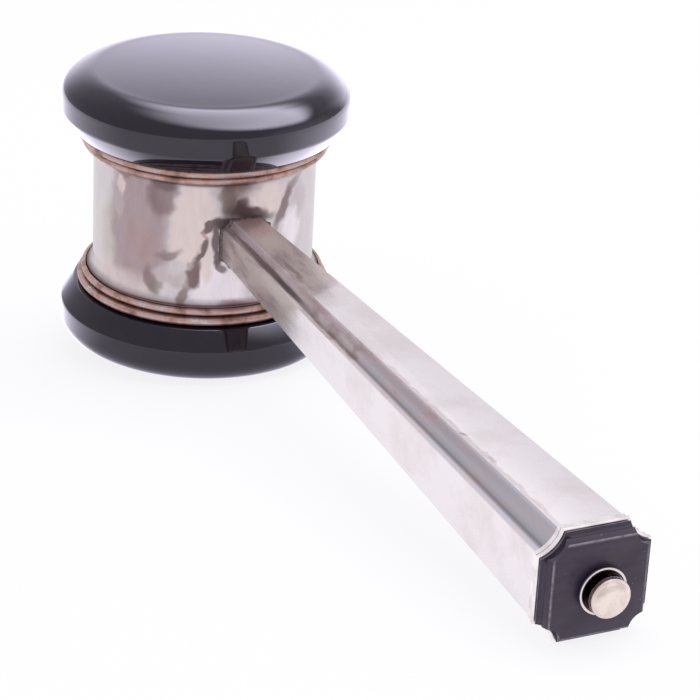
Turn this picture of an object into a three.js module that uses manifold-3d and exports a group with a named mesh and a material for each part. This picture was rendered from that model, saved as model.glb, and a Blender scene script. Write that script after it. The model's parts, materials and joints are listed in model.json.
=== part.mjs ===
// A presentation gavel: a silver drum with two black striking discs, on a tapered fluted silver handle.
// Units are millimetres. The gavel is built in the head's own frame: Z is the head's axis and X runs along
// the handle to its free end. The whole is then tipped until the lower disc's rim and the handle's end
// both touch the plane Z = 0, which is how it lies on a table.

import * as THREE from "three";
import * as BufferGeometryUtils from "three/addons/utils/BufferGeometryUtils.js";
import Module from "manifold-3d";

const wasm = await Module();
wasm.setup();

// Gap kept between two pieces that seat on each other
const SEAT_GAP = 0.3;
// How far a cutter runs past the face that it opens
const OVERRUN = 1;

// Head
const DRUM_RADIUS = 24.3;
const DRUM_PLAIN_HALF_LENGTH = 11.5;
const DRUM_WALL = 0.9;
const COVE_LENGTH = 2.5;
const COVE_RISE = 1.3;
const BEAD_WIDTH = 1.5;
const BEAD_RISE = 0.9;
const LIP_WIDTH = 1.7;
const LIP_RISE = 2.1;

// Striking discs
const DISC_RADIUS = 31.4;
const DISC_NECK_STEP = 0.3;
const DISC_UNDERSIDE_DEPTH = 4.1;
const DISC_EDGE_EASE = 0.3;
const DISC_RIM_WIDTH = 3.4;
const DISC_SHOULDER_DEPTH = 5.2;
const DISC_FACE_RADIUS = 23.7;
const DISC_FACE_CROWN = 0.5;
const STRIKING_FLAT_RADIUS = 12;

// Fastening inside the head
const DOWEL_RADIUS = 5;
const DOWEL_DEPTH_IN_DISC = 9;
const BARREL_NUT_HALF_LENGTH = 9;
const ROD_RADIUS = 2;
const ROD_PAST_HEAD_AXIS = 3.5;

// Handle
const HANDLE_REACH = 177.3;
const HANDLE_ROOT_HALF_WIDTH = 5.4;
const HANDLE_END_HALF_WIDTH = 10.3;
const HANDLE_WALL = 0.9;
const FLUTE_ROOT_CUT = 2.25;
const FLUTE_END_CUT = 4;
const TENON_RADIUS = 4;
const TENON_LENGTH = 15;
const COUPLING_RADIUS = 3.6;
const COUPLING_LENGTH = 18;
const COUPLING_SETBACK = 4;

// End of the handle
const FLANGE_OVERHANG = 0.6;
const FLANGE_EXTRA_CUT = 0.5;
const FLANGE_THICKNESS = 1.3;
const FLANGE_ROLL = 0.3;
const BLOCK_BASE_INSET = 0.3;
const BLOCK_LESS_CUT = 0.1;
const BLOCK_BASE_THICKNESS = 0.25;
const BLOCK_COVE_DEPTH = 0.7;
const BLOCK_COVE_INSET = 0.8;
const BLOCK_TIER_HEIGHT = 1.25;
const BLOCK_TIER_INSET = 0.7;
const BLOCK_NOTCH_RADIUS = 3.3;
const PIN_RADIUS = 0.8;
const PIN_OFFSET = 6.6;
const PIN_DEPTH_IN_BLOCK = 1.1;
const PIN_DEPTH_IN_HANDLE = 4;

// Finial
const CUP_RADIUS = 4.5;
const CUP_HEIGHT = 1.35;
const CUP_WALL = 0.45;
const CUP_FOOT_RADIUS = 3.2;
const NECK_RADIUS = 2.5;
const NECK_LENGTH = 2.1;
const BUTTON_RADIUS = 3.35;
const BUTTON_LENGTH = 1.55;
const BUTTON_EDGE = 0.15;
const BUTTON_CROWN = 0.4;
const SCREW_ENGAGEMENT = 4.9;
const SCREW_TO_ROD = 0.5;

// How finely round shapes are cut
const HEAD_SEGMENTS = 48;
const SMALL_SEGMENTS = 24;
const ARC_STEPS = 5;
const RING_ARC_STEPS = 2;
const FLUTE_STEPS = 6;
const FLAT_STEPS = 4;

// The bow of a fluted corner and of a quarter-round notch, as shares of the chord
const FLUTE_BOW_SHARE = 0.13;
const NOTCH_BOW_SHARE = (1 - Math.SQRT1_2) / Math.SQRT2;

// Finishes
const SILVER = new THREE.MeshStandardMaterial({ color: 0xd8cfd3, metalness: 1, roughness: 0.28 });
const TARNISHED_SILVER = new THREE.MeshStandardMaterial({ color: 0xb9a6a4, metalness: 1, roughness: 0.34 });
const POLISHED_BLACK = new THREE.MeshStandardMaterial({ color: 0x2d272d, metalness: 0, roughness: 0.16 });
const SATIN_BLACK = new THREE.MeshStandardMaterial({ color: 0x4a4550, metalness: 0, roughness: 0.42 });
const HARDWOOD = new THREE.MeshStandardMaterial({ color: 0x8f6238, metalness: 0, roughness: 0.7 });
const STEEL = new THREE.MeshStandardMaterial({ color: 0x9c9a98, metalness: 1, roughness: 0.4 });

// Places along the head's axis, worked out from the sizes above
const coveEnd = DRUM_PLAIN_HALF_LENGTH + COVE_LENGTH;
const beadStart = coveEnd + SEAT_GAP;
const lipStart = beadStart + BEAD_WIDTH + SEAT_GAP;
const drumHalfLength = lipStart + LIP_WIDTH;
const discSeat = drumHalfLength + SEAT_GAP;
const rimLow = discSeat + DISC_UNDERSIDE_DEPTH;
const rimHigh = rimLow + DISC_RIM_WIDTH;
const faceEdge = rimHigh + DISC_SHOULDER_DEPTH;
const strikingFace = faceEdge + DISC_FACE_CROWN;
const seatRadius = DRUM_RADIUS + COVE_RISE;
const ringBore = seatRadius + SEAT_GAP;
const lipRadius = seatRadius + LIP_RISE;
const discNeckRadius = lipRadius + DISC_NECK_STEP;
const dowelBore = DOWEL_RADIUS + SEAT_GAP;
const rodBore = ROD_RADIUS + SEAT_GAP;

// Places along the handle
const tubeEnd = HANDLE_REACH - FLANGE_THICKNESS - SEAT_GAP;
const blockBack = HANDLE_REACH + SEAT_GAP;
const blockFace = blockBack + BLOCK_BASE_THICKNESS + BLOCK_COVE_DEPTH + BLOCK_TIER_HEIGHT;
const cupBack = blockFace + SEAT_GAP;
const neckStart = cupBack + CUP_WALL + SEAT_GAP;
const buttonStart = neckStart + NECK_LENGTH;
const couplingEnd = HANDLE_REACH - COUPLING_SETBACK;
const couplingStart = couplingEnd - COUPLING_LENGTH;
const screwTip = couplingEnd - SCREW_ENGAGEMENT;
const rodEnd = screwTip - SCREW_TO_ROD;
const headClearance = DRUM_RADIUS + SEAT_GAP;

// Half widths and corner cuts of what closes the handle's end, each stepped in from the one behind it
const flangeHalfWidth = HANDLE_END_HALF_WIDTH + FLANGE_OVERHANG;
const flangeCut = FLUTE_END_CUT + FLANGE_EXTRA_CUT;
const blockBaseHalfWidth = flangeHalfWidth - BLOCK_BASE_INSET;
const blockBaseCut = flangeCut - BLOCK_LESS_CUT;
const blockTierHalfWidth = blockBaseHalfWidth - BLOCK_COVE_INSET;
const blockFaceHalfWidth = blockTierHalfWidth - BLOCK_TIER_INSET;

// Leaves a geometry with shared corners and no empty triangles, so that it is a closed body
function closed(geometry) {
  geometry.deleteAttribute("uv");
  geometry.deleteAttribute("normal");
  const merged = BufferGeometryUtils.mergeVertices(geometry);
  const index = [];
  for (let i = 0; i < merged.index.count; i += 3) {
    const [a, b, c] = [0, 1, 2].map((k) => merged.index.getX(i + k));
    if (a !== b && b !== c && c !== a) index.push(a, b, c);
  }
  merged.setIndex(index);
  merged.computeVertexNormals();
  return merged;
}

// A solid turned about the head's axis, from radius and height pairs run anticlockwise
function turnedOnHead(outline, segments = HEAD_SEGMENTS) {
  const points = outline.map(([radius, height]) => new THREE.Vector2(radius, height));
  return closed(new THREE.LatheGeometry(points, segments).rotateX(Math.PI / 2));
}

// The same outline turned about the handle's axis
function turnedOnHandle(outline, segments = SMALL_SEGMENTS) {
  const points = outline.map(([radius, reach]) => new THREE.Vector2(radius, reach));
  return closed(new THREE.LatheGeometry(points, segments).rotateZ(-Math.PI / 2));
}

// A plain round bar along the handle, from one reach to another
function barOnHandle(radius, from, to) {
  return turnedOnHandle([[0, from], [radius, from], [radius, to], [0, to]]);
}

// Points of a quarter ellipse, from its first axis to its second
function quarterArc(centre, first, second, steps = ARC_STEPS) {
  return Array.from({ length: steps + 1 }, (_, i) => {
    const turn = (i / steps) * (Math.PI / 2);
    return [0, 1].map((k) => centre[k] + first[k] * Math.cos(turn) + second[k] * Math.sin(turn));
  });
}

// A square ring of points at one reach, with each corner taken off by a hollow arc
function flutedRing(reach, halfWidth, cut, bowShare) {
  const ring = [];
  const bow = bowShare * cut * Math.SQRT2;
  const radius = (cut * cut / 2 + bow * bow) / (2 * bow);
  const spread = Math.asin((cut / Math.SQRT2) / radius);
  const centre = (halfWidth - cut / 2) + (radius - bow) * Math.SQRT1_2;
  for (let corner = 0; corner < 4; corner += 1) {
    const points = [];
    for (let i = 0; i <= FLUTE_STEPS; i += 1) {
      const turn = Math.PI * 1.25 + spread * (1 - 2 * i / FLUTE_STEPS);
      points.push([centre + radius * Math.cos(turn), centre + radius * Math.sin(turn)]);
    }
    const [lastY, lastZ] = points[FLUTE_STEPS];
    for (let i = 1; i < FLAT_STEPS; i += 1) {
      points.push([lastY - (2 * lastY * i) / FLAT_STEPS, lastZ]);
    }
    const turned = corner * Math.PI / 2;
    for (const [y, z] of points) {
      const across = y * Math.cos(turned) - z * Math.sin(turned);
      const up = y * Math.sin(turned) + z * Math.cos(turned);
      ring.push([reach, across, up]);
    }
  }
  return ring;
}

// A round ring whose points face those of a fluted one
function boreRing(reach, radius, facing) {
  return facing.map(([, y, z]) => {
    const turn = Math.atan2(z, y);
    return [reach, radius * Math.cos(turn), radius * Math.sin(turn)];
  });
}

// A solid skinned over rings, the last of which joins the first, so that a bore runs through it
function skinned(rings) {
  const count = rings[0].length;
  const index = [];
  rings.forEach((_, r) => {
    const next = (r + 1) % rings.length;
    for (let i = 0; i < count; i += 1) {
      const j = (i + 1) % count;
      const [a, b, c, d] = [r * count + i, r * count + j, next * count + j, next * count + i];
      index.push(a, b, c, a, c, d);
    }
  });
  const geometry = new THREE.BufferGeometry();
  geometry.setAttribute("position", new THREE.Float32BufferAttribute(rings.flat(2), 3));
  geometry.setIndex(index);
  return closed(geometry);
}

// What is left of a solid once each cutter is taken out of it
function cutBy(geometry, cutters) {
  const solid = (shape) => new wasm.Manifold(new wasm.Mesh({
    numProp: 3,
    vertProperties: new Float32Array(shape.attributes.position.array),
    triVerts: new Uint32Array(shape.index.array),
  }));
  const left = cutters.reduce((rest, cutter) => rest.subtract(solid(cutter)), solid(geometry)).getMesh();
  const result = new THREE.BufferGeometry();
  result.setAttribute("position", new THREE.Float32BufferAttribute(left.vertProperties, 3));
  result.setIndex(Array.from(left.triVerts));
  result.computeVertexNormals();
  return result;
}

// The handle's half width and flute cut at a reach, on its straight taper
function handleTaper(reach) {
  const t = (reach - DRUM_RADIUS) / (tubeEnd - DRUM_RADIUS);
  return {
    halfWidth: THREE.MathUtils.lerp(HANDLE_ROOT_HALF_WIDTH, HANDLE_END_HALF_WIDTH, t),
    cut: THREE.MathUtils.lerp(FLUTE_ROOT_CUT, FLUTE_END_CUT, t),
  };
}

function handleRing(reach, inset) {
  const { halfWidth, cut } = handleTaper(reach);
  return flutedRing(reach, halfWidth - inset, cut, FLUTE_BOW_SHARE);
}

// The disc's outer outline, from its neck round the rim to the edge of the striking flat
function discOutline() {
  const underside = [
    [discNeckRadius, discSeat],
    [DISC_RADIUS - DISC_EDGE_EASE, rimLow - DISC_EDGE_EASE],
    [DISC_RADIUS, rimLow + DISC_EDGE_EASE],
  ];
  const shoulder = quarterArc(
    [DISC_FACE_RADIUS, rimHigh],
    [DISC_RADIUS - DISC_FACE_RADIUS, 0],
    [0, DISC_SHOULDER_DEPTH],
  );
  return [...underside, ...shoulder, [STRIKING_FLAT_RADIUS, strikingFace]];
}

function strikingDisc() {
  const boreEnd = discSeat + DOWEL_DEPTH_IN_DISC + SEAT_GAP;
  return turnedOnHead([
    [0, boreEnd],
    [dowelBore, boreEnd],
    [dowelBore, discSeat],
    ...discOutline(),
    [0, strikingFace],
  ]);
}

function discDowel() {
  const low = BARREL_NUT_HALF_LENGTH + SEAT_GAP;
  const high = discSeat + DOWEL_DEPTH_IN_DISC;
  const outline = [[0, low], [DOWEL_RADIUS, low], [DOWEL_RADIUS, high], [0, high]];
  return turnedOnHead(outline, SMALL_SEGMENTS);
}

// The hole through the drum's wall and into the core, for the handle's tenon
function tenonHole() {
  return barOnHandle(TENON_RADIUS + SEAT_GAP, 0, DRUM_RADIUS + OVERRUN);
}

function drumSleeve() {
  const cove = quarterArc([seatRadius, DRUM_PLAIN_HALF_LENGTH], [-COVE_RISE, 0], [0, COVE_LENGTH]);
  const upper = [...cove, [seatRadius, drumHalfLength]];
  const lower = upper.map(([radius, height]) => [radius, -height]).reverse();
  const inner = DRUM_RADIUS - DRUM_WALL;
  const outline = [...lower, ...upper, [inner, drumHalfLength], [inner, -drumHalfLength], lower[0]];
  return cutBy(turnedOnHead(outline), [tenonHole()]);
}

function headCore() {
  const radius = DRUM_RADIUS - DRUM_WALL - SEAT_GAP;
  const outline = [
    [dowelBore, -drumHalfLength],
    [radius, -drumHalfLength],
    [radius, drumHalfLength],
    [dowelBore, drumHalfLength],
    [dowelBore, -drumHalfLength],
  ];
  return cutBy(turnedOnHead(outline), [tenonHole()]);
}

function beadRing() {
  const crest = ringBore + BEAD_RISE;
  const half = BEAD_WIDTH / 2;
  const middle = beadStart + half;
  const foot = crest - half;
  const round = quarterArc([foot, middle], [0, -half], [half, 0], RING_ARC_STEPS);
  const rest = quarterArc([foot, middle], [half, 0], [0, half], RING_ARC_STEPS);
  return turnedOnHead([
    [ringBore, beadStart],
    ...round,
    ...rest.slice(1),
    [ringBore, beadStart + BEAD_WIDTH],
    [ringBore, beadStart],
  ]);
}

function lipRing() {
  const crest = lipRadius;
  const half = LIP_WIDTH / 2;
  const middle = lipStart + half;
  const round = quarterArc([crest - half, middle], [0, -half], [half, 0], RING_ARC_STEPS);
  const rest = quarterArc([crest - half, middle], [half, 0], [0, half], RING_ARC_STEPS);
  return turnedOnHead([
    [ringBore, lipStart],
    ...round,
    ...rest.slice(1),
    [ringBore, lipStart + LIP_WIDTH],
    [ringBore, lipStart],
  ]);
}

function barrelNut() {
  const high = BARREL_NUT_HALF_LENGTH;
  const outline = [[0, -high], [DOWEL_RADIUS, -high], [DOWEL_RADIUS, high], [0, high]];
  const body = turnedOnHead(outline, SMALL_SEGMENTS);
  return cutBy(body, [barOnHandle(rodBore, -DOWEL_RADIUS - OVERRUN, DOWEL_RADIUS + OVERRUN)]);
}

function handleTube() {
  const start = DRUM_RADIUS - HANDLE_ROOT_HALF_WIDTH;
  const tube = skinned([
    handleRing(start, 0),
    handleRing(tubeEnd, 0),
    handleRing(tubeEnd, HANDLE_WALL),
    handleRing(start, HANDLE_WALL),
  ]);
  const saddle = turnedOnHead([
    [0, -drumHalfLength],
    [headClearance, -drumHalfLength],
    [headClearance, drumHalfLength],
    [0, drumHalfLength],
  ]);
  return cutBy(tube, [saddle]);
}

// The pins that keep the end block square to the handle, or the holes for them
function alignmentPins(radius, clearance) {
  const from = HANDLE_REACH - FLANGE_THICKNESS - PIN_DEPTH_IN_HANDLE - clearance;
  const to = blockBack + PIN_DEPTH_IN_BLOCK + clearance;
  return [-PIN_OFFSET, PIN_OFFSET].map((offset) => barOnHandle(radius, from, to).translate(0, offset, 0));
}

function handleCore() {
  const inset = HANDLE_WALL + SEAT_GAP;
  const root = handleRing(headClearance, inset);
  const end = handleRing(tubeEnd, inset);
  const tenonTip = headClearance - TENON_LENGTH;
  const socket = COUPLING_RADIUS + SEAT_GAP;
  const shoulder = couplingStart - SEAT_GAP;
  const core = skinned([
    boreRing(tenonTip, TENON_RADIUS, root),
    boreRing(headClearance, TENON_RADIUS, root),
    root,
    end,
    boreRing(tubeEnd, socket, end),
    boreRing(shoulder, socket, end),
    boreRing(shoulder, rodBore, end),
    boreRing(tenonTip, rodBore, root),
  ]);
  return cutBy(core, alignmentPins(PIN_RADIUS + SEAT_GAP, SEAT_GAP));
}

function tieRod() {
  return barOnHandle(ROD_RADIUS, -ROD_PAST_HEAD_AXIS, rodEnd);
}

function rodCoupling() {
  return turnedOnHandle([
    [rodBore, couplingStart],
    [COUPLING_RADIUS, couplingStart],
    [COUPLING_RADIUS, couplingEnd],
    [rodBore, couplingEnd],
    [rodBore, couplingStart],
  ]);
}

function endFlange() {
  const back = HANDLE_REACH - FLANGE_THICKNESS;
  const outer = (reach, inset) => flutedRing(reach, flangeHalfWidth - inset, flangeCut, FLUTE_BOW_SHARE);
  const facing = outer(back, 0);
  const flange = skinned([
    outer(back, FLANGE_ROLL),
    outer(back + FLANGE_ROLL, 0),
    outer(HANDLE_REACH - FLANGE_ROLL, 0),
    outer(HANDLE_REACH, FLANGE_ROLL),
    boreRing(HANDLE_REACH, rodBore, facing),
    boreRing(back, rodBore, facing),
  ]);
  return cutBy(flange, alignmentPins(PIN_RADIUS + SEAT_GAP, SEAT_GAP));
}

function endBlock() {
  const coveBack = blockBack + BLOCK_BASE_THICKNESS;
  const coveFront = coveBack + BLOCK_COVE_DEPTH;
  const cove = quarterArc([blockBaseHalfWidth, coveFront], [0, -BLOCK_COVE_DEPTH], [-BLOCK_COVE_INSET, 0], 4);
  const corner = (halfWidth) => {
    const blend = Math.min((blockBaseHalfWidth - halfWidth) / BLOCK_COVE_INSET, 1);
    return [
      THREE.MathUtils.lerp(blockBaseCut, BLOCK_NOTCH_RADIUS, blend),
      THREE.MathUtils.lerp(FLUTE_BOW_SHARE, NOTCH_BOW_SHARE, blend),
    ];
  };
  const outer = (reach, halfWidth) => flutedRing(reach, halfWidth, ...corner(halfWidth));
  const facing = outer(blockBack, blockBaseHalfWidth);
  const block = skinned([
    facing,
    ...cove.map(([halfWidth, reach]) => outer(reach, halfWidth)),
    outer(blockFace, blockFaceHalfWidth),
    boreRing(blockFace, rodBore, facing),
    boreRing(blockBack, rodBore, facing),
  ]);
  return cutBy(block, alignmentPins(PIN_RADIUS + SEAT_GAP, SEAT_GAP));
}

function finialCup() {
  const rim = cupBack + CUP_HEIGHT;
  const wall = CUP_WALL / 2;
  const dishWidth = CUP_RADIUS - CUP_WALL - rodBore;
  const dishDepth = CUP_HEIGHT - wall - CUP_WALL;
  const dish = quarterArc([rodBore, rim - wall], [dishWidth, 0], [0, -dishDepth]);
  return turnedOnHandle([
    [rodBore, cupBack],
    [CUP_FOOT_RADIUS, cupBack],
    [CUP_RADIUS - wall, rim - CUP_WALL],
    [CUP_RADIUS, rim - wall],
    [CUP_RADIUS - wall, rim],
    ...dish,
    [rodBore, cupBack],
  ]);
}

// The finial: a button on a stepped neck, in one piece with the screw that clamps the handle's end
function finialScrew() {
  const buttonEnd = buttonStart + BUTTON_LENGTH;
  return turnedOnHandle([
    [0, screwTip],
    [ROD_RADIUS, screwTip],
    [ROD_RADIUS, neckStart],
    [NECK_RADIUS, neckStart],
    [NECK_RADIUS, buttonStart],
    [BUTTON_RADIUS - BUTTON_EDGE, buttonStart],
    [BUTTON_RADIUS, buttonStart + BUTTON_EDGE],
    [BUTTON_RADIUS, buttonEnd - BUTTON_EDGE],
    [BUTTON_RADIUS - BUTTON_EDGE, buttonEnd],
    ...quarterArc([0, buttonEnd], [BUTTON_RADIUS - BUTTON_EDGE, 0], [0, BUTTON_CROWN]).slice(1),
  ]);
}

// How far the gavel tips to lie on its lower disc and on the end of its handle. The floor is the one line,
// in the plane of the handle, that touches the disc's outline and the end's outline from below.
function restingTilt() {
  const discPoints = discOutline().map(([radius, height]) => [radius, -height]);
  const endPoints = [
    [HANDLE_REACH - FLANGE_THICKNESS + FLANGE_ROLL, -flangeHalfWidth],
    [HANDLE_REACH - FLANGE_ROLL, -flangeHalfWidth],
    [blockBack, -blockBaseHalfWidth],
    [blockBack + BLOCK_BASE_THICKNESS, -blockBaseHalfWidth],
    [blockFace, -blockFaceHalfWidth],
  ];
  const slopes = endPoints.map(([endX, endZ]) => Math.max(
    ...discPoints.map(([discX, discZ]) => Math.atan2(endZ - discZ, endX - discX)),
  ));
  return Math.min(...slopes);
}

function piece(name, geometry, material) {
  const mesh = new THREE.Mesh(geometry, material);
  mesh.name = name;
  return mesh;
}

// The upper and lower pieces of the head are alike: the lower ones are turned over about the handle's axis
function headPieces() {
  const end = new THREE.Group();
  const ends = [["upper", 0], ["lower", Math.PI]];
  for (const [side, turn] of ends) {
    const half = new THREE.Group();
    half.add(piece(`${side}_striking_disc`, strikingDisc(), POLISHED_BLACK));
    half.add(piece(`${side}_disc_dowel`, discDowel(), HARDWOOD));
    half.add(piece(`${side}_bead_ring`, beadRing(), TARNISHED_SILVER));
    half.add(piece(`${side}_lip_ring`, lipRing(), SILVER));
    half.rotation.x = turn;
    end.add(half);
  }
  end.add(piece("drum_sleeve", drumSleeve(), TARNISHED_SILVER));
  end.add(piece("head_core", headCore(), HARDWOOD));
  end.add(piece("barrel_nut", barrelNut(), STEEL));
  return end;
}

function handlePieces() {
  const handle = new THREE.Group();
  handle.add(piece("handle_tube", handleTube(), SILVER));
  handle.add(piece("handle_core", handleCore(), HARDWOOD));
  handle.add(piece("tie_rod", tieRod(), STEEL));
  handle.add(piece("rod_coupling", rodCoupling(), STEEL));
  handle.add(piece("end_flange", endFlange(), SILVER));
  handle.add(piece("end_block", endBlock(), SATIN_BLACK));
  const [left, right] = alignmentPins(PIN_RADIUS, 0);
  handle.add(piece("left_alignment_pin", left, STEEL));
  handle.add(piece("right_alignment_pin", right, STEEL));
  handle.add(piece("finial_cup", finialCup(), SILVER));
  handle.add(piece("finial_screw", finialScrew(), SILVER));
  return handle;
}

const gavel = new THREE.Group();
gavel.add(headPieces(), handlePieces());
gavel.rotation.y = restingTilt();

// The origin is the middle of the bottom of the box round the resting gavel
const bounds = new THREE.Box3().setFromObject(gavel, true);
const middle = bounds.getCenter(new THREE.Vector3());
gavel.position.set(-middle.x, -middle.y, -bounds.min.z);

export default gavel;
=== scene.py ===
"""A presentation gavel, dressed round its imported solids.

The pieces are modelled in the gavel's own frame, in millimetres: Z is the head's axis and X runs along the
handle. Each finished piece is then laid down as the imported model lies, in metres.
"""

import json
import logging
import math
from dataclasses import dataclass
from enum import Enum
from functools import partial
from typing import Any, Callable, Sequence

import bpy
from mathutils import Matrix, Vector


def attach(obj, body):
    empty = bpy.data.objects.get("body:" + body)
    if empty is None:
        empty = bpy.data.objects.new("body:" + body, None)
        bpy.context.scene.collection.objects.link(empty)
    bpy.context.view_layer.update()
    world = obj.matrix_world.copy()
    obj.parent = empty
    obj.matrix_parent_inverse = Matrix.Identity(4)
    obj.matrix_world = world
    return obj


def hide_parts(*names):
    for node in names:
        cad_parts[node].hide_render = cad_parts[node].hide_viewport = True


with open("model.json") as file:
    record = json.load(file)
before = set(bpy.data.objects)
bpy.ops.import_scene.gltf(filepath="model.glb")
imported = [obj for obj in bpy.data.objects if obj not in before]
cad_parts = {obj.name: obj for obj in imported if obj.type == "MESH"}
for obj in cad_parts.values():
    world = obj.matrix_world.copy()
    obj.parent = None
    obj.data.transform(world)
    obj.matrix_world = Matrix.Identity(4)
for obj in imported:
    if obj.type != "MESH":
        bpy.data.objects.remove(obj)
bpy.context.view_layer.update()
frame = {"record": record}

LOG = logging.getLogger("gavel")
MM = 0.001
FULL_TURN = 2 * math.pi
# Points closer than this, in millimetres, are one point.
MERGE_DISTANCE = 0.0005
# Corners that turn less than this are left as they are.
SLIGHT_TURN = math.radians(20)
# A rounding takes at most this share of a side from each of the side's ends.
SIDE_SHARE = 0.45
# The third part of a spot that no stain reaches.
OFF_SURFACE = 50.0
# Across a flute, a stain's place runs from minus this to this.
FLUTE_REACH = 10.0
# The scale at which a wave texture has one wave a unit.
ONE_WAVE = 0.314

Point = tuple[float, float]
Point3 = tuple[float, float, float]
Colour = tuple[float, float, float, float]
Piece = bpy.types.Object
Material = bpy.types.Material
Node = bpy.types.Node
# What feeds a node's input: another node, by its first output in use, or one of its outputs.
Source = bpy.types.Node | bpy.types.NodeSocket
# add_node, for one node tree.
Adder = Callable[..., Node]


class Body(Enum):
    """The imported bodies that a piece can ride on."""

    ROOT = "root"
    CUP = "cup_washer"
    SCREW = "end_screw"


class Slot(Enum):
    """The record's material slots."""

    SILVER = "silver"
    TARNISHED = "tarnished_silver"
    POLISHED_BLACK = "polished_black"
    SATIN_BLACK = "satin_black"


class TurnAxis(Enum):
    """The axis that a turned piece is spun about, in the gavel's own frame."""

    HEAD = (0.0, 0.0, 1.0)
    HANDLE = (1.0, 0.0, 0.0)


# Shapes


def quarter_arc(centre: Point, first: Point, second: Point, steps: int) -> list[Point]:
    """Gives the points of a quarter ellipse.

    Args:
        centre: The middle of the ellipse.
        first: From the centre to the first point.
        second: From the centre to the last point.
        steps: How many straight lines make the arc.

    Returns:
        The points from first to second.
    """
    turns = [step / steps * math.pi / 2 for step in range(steps + 1)]
    return [
        tuple(centre[part] + first[part] * math.cos(turn) + second[part] * math.sin(turn) for part in (0, 1))
        for turn in turns
    ]


def eased(outline: Sequence[Point], radius: float, steps: int = 3, closed: bool = False) -> list[Point]:
    """Rounds the corners of an outline, as a turner's cloth or a file leaves them.

    Args:
        outline: The points, in order.
        radius: How far from a corner its rounding starts.
        steps: How many straight lines make each rounding.
        closed: Whether the last point joins the first.

    Returns:
        The outline with all but its slight corners rounded.
    """
    points = [Vector(point) for point in outline]
    count = len(points)
    result: list[Point] = []
    for number, corner in enumerate(points):
        back, on = points[number - 1] - corner, points[(number + 1) % count] - corner
        at_end = not closed and number in (0, count - 1)
        if at_end or math.pi - back.angle(on) < SLIGHT_TURN:
            result.append(tuple(corner))
            continue
        reach = min(radius, SIDE_SHARE * back.length, SIDE_SHARE * on.length)
        start, end = corner + back.normalized() * reach, corner + on.normalized() * reach
        for step in range(steps + 1):
            share = step / steps
            result.append(tuple(start.lerp(corner, share).lerp(corner.lerp(end, share), share)))
    return result


@dataclass(frozen=True)
class RestPose:
    """How the gavel lies: where its head's middle is and how far its handle dips."""

    centre: Vector
    tilt: float

    @classmethod
    def from_record(cls, record: dict[str, Any]) -> "RestPose":
        """Reads the pose from the two striking faces, which lie alike on either side of the middle.

        Args:
            record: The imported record.

        Returns:
            The pose.
        """
        faces = {mount["name"]: mount for mount in record["mounts"]}
        upper, lower = faces["upper_striking_face"], faces["lower_striking_face"]
        centre = (Vector(upper["pos_m"]) + Vector(lower["pos_m"])) / 2
        return cls(centre, math.atan2(upper["axis"][0], upper["axis"][2]))

    def matrix(self) -> Matrix:
        """Gives the matrix from the gavel's own frame, in millimetres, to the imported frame, in metres."""
        turned = Matrix.Rotation(self.tilt, 4, "Y")
        return Matrix.Translation(self.centre) @ turned @ Matrix.Scale(MM, 4)

    def head_axis(self) -> Vector:
        """Gives the direction of the head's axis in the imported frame."""
        return Vector((math.sin(self.tilt), 0, math.cos(self.tilt)))


@dataclass(frozen=True)
class Taper:
    """How the handle's section grows from its root to its end. Sizes are in millimetres."""

    start: float = 24.3
    end: float = 175.7
    root_half_width: float = 5.4
    end_half_width: float = 10.3
    root_cut: float = 2.25
    end_cut: float = 4.0

    def at(self, reach: float) -> Point:
        """Gives the section at a reach.

        Args:
            reach: The distance from the head's axis.

        Returns:
            Half the section's width, and how much of each side a corner's flute takes off.
        """
        share = (reach - self.start) / (self.end - self.start)
        half = self.root_half_width + (self.end_half_width - self.root_half_width) * share
        return half, self.root_cut + (self.end_cut - self.root_cut) * share


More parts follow.
